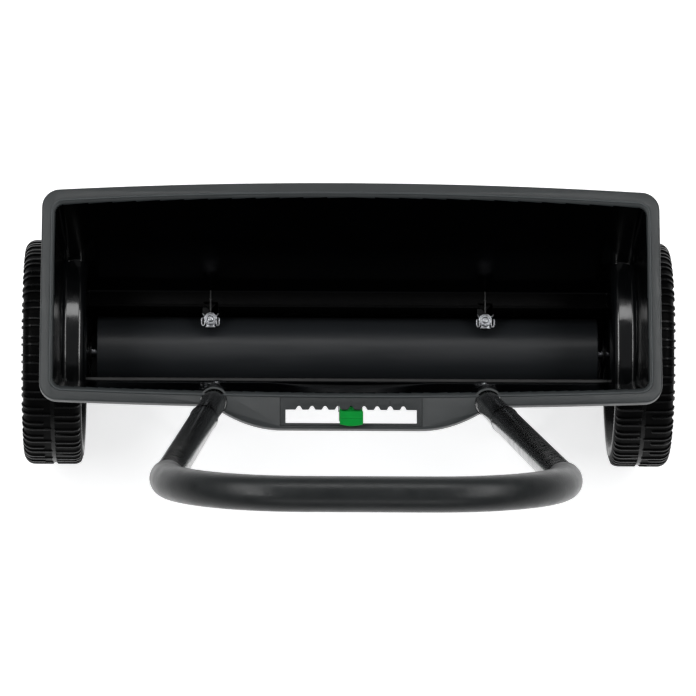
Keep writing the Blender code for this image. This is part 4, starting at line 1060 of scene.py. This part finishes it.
def wheel_rows():
    """(across, radius, tread share, web share) along the wheel's section, from its bore round to its bore."""
    base = WHEEL_RADIUS - RIB_HEIGHT
    shoulder, width = 0.0085, WHEEL_WIDTH
    inner = [(0.0030, 0.0053), (0.0030, 0.0175), (0.0045, 0.0182), (0.0240, 0.0200), (0.0240, 0.0300)]
    inner += [(0.0240, 0.0620), (0.0240, 0.0830), (0.0230, 0.0842), (0.0015, 0.0868), (0.0003, 0.0880)]
    inner += [(0.0, 0.0895)]
    tread = [(x, y) for y, x in arc((base - shoulder, shoulder), shoulder, 270, 360, 7)]
    tread += [(x, base) for x in (0.0120, 0.0236, 0.0246, 0.0272, 0.0282, 0.0340, 0.0352, 0.0400)]
    tread += [(x, y) for y, x in arc((base - shoulder, width - shoulder), shoulder, 0, 90, 7)]
    outer = [(width, 0.0915), (width - 0.0004, 0.0902), (width - 0.0016, 0.0893)]
    outer += [(0.0330, 0.0868), (0.0312, 0.0858)]
    webs = [(0.0300, 0.0835, 0, 0.4), (0.0300, 0.0800, 0, 1), (0.0300, 0.0560, 0, 1)]
    webs += [(0.0300, 0.0330, 0, 1), (0.0302, 0.0290, 0, 1), (0.0312, 0.0235, 0, 0.6)]
    hub = [(0.0330, 0.0218), (0.0350, 0.0215), (0.0396, 0.0215), (0.0400, 0.0211), (0.0400, 0.0053)]
    rows = [(*point, 0, 0) for point in inner] + [(*point, 1, 0) for point in tread]
    return rows + [(*point, 0, 0) for point in outer] + webs + [(*point, 0, 0) for point in hub]


def rib_share(angle, across):
    """How much of a tread rib stands at an angle in degrees and a distance across the wheel."""
    period = 360.0 / TREAD_PAIRS
    place = (angle + period / 4) % period - period / 4
    best = 0.0
    for centre, start in ((-RIB_PAIR, 0.0278), (RIB_PAIR, 0.0346)):
        ridge = 1 - smoothstep(RIB_TOP, RIB_FOOT, abs(place - centre))
        ridge *= smoothstep(start - 0.0006, start + 0.0006, across)
        best = max(best, ridge)
    for centre in (period / 2 - RIB_PAIR, period / 2 + RIB_PAIR):
        offset = min(abs(place - centre), abs(place - centre + period), abs(place - centre - period))
        ridge = 1 - smoothstep(RIB_TOP, RIB_FOOT, offset)
        ridge *= 1 - smoothstep(0.0236, 0.0246, across)
        ridge *= smoothstep(0.0010, 0.0030, across)
        best = max(best, ridge)
    return best


def tread_angles():
    period = 360.0 / TREAD_PAIRS
    centres = (-RIB_PAIR, RIB_PAIR, period / 2 - RIB_PAIR, period / 2 + RIB_PAIR)
    offsets = (-RIB_FOOT, -RIB_TOP, RIB_TOP, RIB_FOOT)
    within = sorted(centre + offset for centre in centres for offset in offsets)
    return [index * period + place for index in range(TREAD_PAIRS) for place in within]


def build_wheel(word, side, body):
    rows, angles = wheel_rows(), tread_angles()
    bm = bmesh.new()
    grid = []
    for index, (across, radius, tread, web) in enumerate(rows):
        before, after = rows[index - 1], rows[(index + 1) % len(rows)]
        run = Vector((after[0] - before[0], after[1] - before[1]))
        out = Vector((-run.y, run.x)).normalized()
        ring = []
        for angle in angles:
            a, r = across, radius
            if tread:
                lift = rib_share(angle, across) * RIB_HEIGHT
                if across > 0.044:
                    lift *= 1 - smoothstep(0.094, 0.090, radius) if radius < 0.094 else 1
                a += out.x * lift
                r += out.y * lift
            if web:
                spoke = abs((angle + 18.0) % 36.0 - 18.0) * pi / 180 * radius
                a += 0.0050 * web * (1 - smoothstep(0.0022, 0.0042, spoke))
            turn = radians(angle)
            ring.append(bm.verts.new((r * cos(turn), r * sin(turn), a)))
        grid.append(ring)
    middles = [(a + b) / 2 for a, b in zip(angles, [*angles[1:], angles[0] + 360])]
    for start, end, band in zip(rows, rows[1:] + rows[:1], skin(bm, grid + grid[:1])):
        across = (start[0] + end[0]) / 2
        if not (start[2] and end[2]) or SMOOTH_BAND[0] < across < SMOOTH_BAND[1]:
            continue
        # Faces between the ribs take the darker copy of the wheel plastic: painted shade.
        for face, angle in zip(band, middles):
            if rib_share(angle, across) < 0.5:
                face.material_index = 1
    mesh = finished(f"{word}_tyre", bm)
    shaded_valleys = [face.material_index for face in mesh.polygons]
    turn = Matrix.Translation((side * WHEEL_INNER_FACE, AXLE_Y, AXLE_Z))
    turn @= Matrix.Rotation(side * pi / 2, 4, "Y")
    shown(f"{word}_wheel_ribbed", mesh, body, "wheel_plastic", (f"{word}_wheel",), matrix=turn, sharp=42)
    mesh.materials.append(MATERIALS["tread_valley_shade"])
    for face, index in zip(mesh.polygons, shaded_valleys):
        face.material_index = index

    cap = [(0.0, 0.0515), (0.0070, 0.0514), (0.0120, 0.0508), (0.0165, 0.0497), (0.0178, 0.0489)]
    cap += [(0.0180, 0.0482), (0.0196, 0.0480), (0.0214, 0.0470), (0.0230, 0.0452), (0.0236, 0.0432)]
    cap += [(0.0236, 0.0352), (0.0233, 0.0345), (0.0223, 0.0345), (0.0223, 0.0433), (0.0180, 0.0470)]
    cap.append((0.0, 0.0498))
    shown(f"{word}_hub_dome", spun("cap", cap, 72), body, "wheel_plastic", (f"{word}_hub_cap",), matrix=turn)


def build_clips():
    """Spring clip, washer and cross-head screw on each lug."""
    for word, side in SIDES:
        x, y = side * CLIP_HALF, CLIP_FORWARD
        base = CLIP_BASE
        parts = []
        rims = [circle(0.0063, 40), circle(0.0025, 24)]
        parts.append(sheet("pad", rims, base, base + 0.0009, 0.0002, 2))
        for sign in (-1.0, 1.0):
            loop = [
                (sign * 0.0050, 0.0010, base + 0.0005),
                (sign * 0.0056, -0.0012, base + 0.0007),
                (sign * 0.0056, -0.0054, base + 0.0010),
                (sign * 0.0066, -0.0066, base + 0.0014),
                (sign * 0.0080, -0.0056, base + 0.0020),
                (sign * 0.0082, -0.0020, base + 0.0028),
                (sign * 0.0080, 0.0002, base + 0.0034),
            ]
            run = smooth_run(loop, 6)
            parts.append(swept("loop", run, [0.00062] * len(run), 14))
            ear = [
                (sign * 0.0040, 0.0028, base + 0.0006),
                (sign * 0.0060, 0.0034, base + 0.0012),
                (sign * 0.0076, 0.0048, base + 0.0024),
            ]
            run = smooth_run(ear, 6)
            parts.append(swept("ear", run, [0.00062] * len(run), 14))
        bar = [(sx * 0.0046, -0.0072 - 0.0003 * (1 - abs(sx)), base - 0.0006) for sx in spread(1.0, 9)]
        parts.append(swept("bar", bar, [0.0007] * len(bar), 14))
        tongue_low = (-0.0036, -0.0074, base - 0.0004)
        parts.append(block("tongue", tongue_low, (0.0036, -0.0040, base + 0.0005), 0.0003, 2))
        spot = TO_ROW @ Matrix.Translation((x, y, 0))
        clip = merged("clip", parts)
        shown(f"{word}_spring_clip", clip, FIXED, "zinc_steel", (f"{word}_clip",), matrix=spot)
        ring = [(0.0025, 0.0), (0.0058, 0.0), (0.0060, 0.0002), (0.0060, 0.0007), (0.0057, 0.0011)]
        ring += [(0.0050, 0.0012), (0.0045, 0.0009), (0.0043, 0.0003), (0.0025, 0.0003)]
        ring = spun("ring", ring, 56)
        turn = spot @ Matrix.Translation((0, 0, base + 0.0012))
        shown(f"{word}_clip_ring", ring, FIXED, "zinc_steel", (f"{word}_clip_washer",), matrix=turn)
        turn = spot @ Matrix.Translation((0, 0, base + 0.0017))
        screw = bolt_mesh(0.0034, 0.0017, 0.0020, 0.0118, True)
        shown(f"{word}_clip_fixing", screw, FIXED, "zinc_steel", (f"{word}_clip_screw",), matrix=turn)


def repaint_nodes():
    """CAD nodes that stay take the detailed material of their slot."""
    slots = {entry["node"]: entry["material_slot"] for entry in frame["record"]["subparts"]}
    for name, node in frame["nodes"].items():
        node.data.materials.clear()
        node.data.materials.append(MATERIALS[slots[name]])


# ---------------------------------------------------------------- stage


def build_stage():
    bm = bmesh.new()
    bmesh.ops.create_grid(bm, x_segments=2, y_segments=2, size=6.0)
    floor = placed("floor", finished("floor", bm))
    floor.location = (0, 0, -0.0004)
    pale = bpy.data.materials.new("pale_floor")
    pale.use_nodes = True
    nodes, links = pale.node_tree.nodes, pale.node_tree.links
    shader = nodes["Principled BSDF"]
    dial(shader, Roughness=0.9, Emission_Color=(1, 1, 1, 1), Emission_Strength=FLOOR_GLOW)
    noise = nodes.new("ShaderNodeTexNoise")
    dial(noise, Scale=3.0)
    ramp = nodes.new("ShaderNodeValToRGB")
    ramp.color_ramp.elements[0].color = (0.90, 0.90, 0.90, 1)
    ramp.color_ramp.elements[1].color = (0.93, 0.93, 0.93, 1)
    links.new(noise.outputs["Fac"], ramp.inputs["Fac"])
    links.new(ramp.outputs["Color"], shader.inputs["Base Color"])
    floor.data.materials.append(pale)

    world = bpy.data.worlds.new("studio")
    world.use_nodes = True
    dial(world.node_tree.nodes["Background"], Color=(0.95, 0.97, 1.0, 1), Strength=WORLD_GLOW)
    bpy.context.scene.world = world

    for name, place, size, power in (
        ("softbox_left", (-1.3, 0.1, 2.4), (2.4, 0.45), 27),
        ("softbox_right", (1.3, 0.1, 2.4), (2.4, 0.45), 27),
        ("softbox_rear", (0.0, -1.9, 1.9), (1.8, 0.5), 5),
        ("softbox_front", (0.0, 1.3, 2.7), (1.6, 0.6), 15),
    ):
        light = bpy.data.lights.new(name, "AREA")
        light.shape = "RECTANGLE"
        light.size, light.size_y = size
        light.energy = power
        lamp = placed(name, light)
        lamp.location = place
        aim = Vector((0, 0.1, 0.25)) - Vector(place)
        lamp.rotation_euler = aim.to_track_quat("-Z", "Y").to_euler()


def build_camera():
    data = bpy.data.cameras.new("camera")
    data.sensor_width = 36.0
    data.lens = CAMERA_LENS
    data.clip_end = 60.0
    camera = placed("camera", data)
    az, el, roll = CAMERA_AZIMUTH, CAMERA_ELEVATION, CAMERA_ROLL
    look = Vector((sin(az) * cos(el), cos(az) * cos(el), -sin(el)))
    right = Vector((cos(az), -sin(az), 0))
    up = right.cross(look)
    right, up = (
        right * cos(roll) + up * sin(roll),
        up * cos(roll) - right * sin(roll),
    )
    turn = Matrix((right, up, -look)).transposed()
    place = Vector((CAMERA_AT[0], CAMERA_AT[1] + AXLE_Y, CAMERA_AT[2] + RIM_TOP))
    camera.matrix_world = Matrix.Translation(place) @ turn.to_4x4()
    bpy.context.scene.camera = camera


bpy.context.scene.view_settings.view_transform = "Standard"
repaint_nodes()
build_camera()
build_stage()
build_hopper()
rim_bead()
socket_shade_sleeves()
build_seal()
build_scale()
build_knob()
build_roller()
build_wheel("left", -1.0, "axle_assembly")
build_wheel("right", 1.0, "free_wheel")
build_clips()
build_handle()
build_bolts()
build_stand()
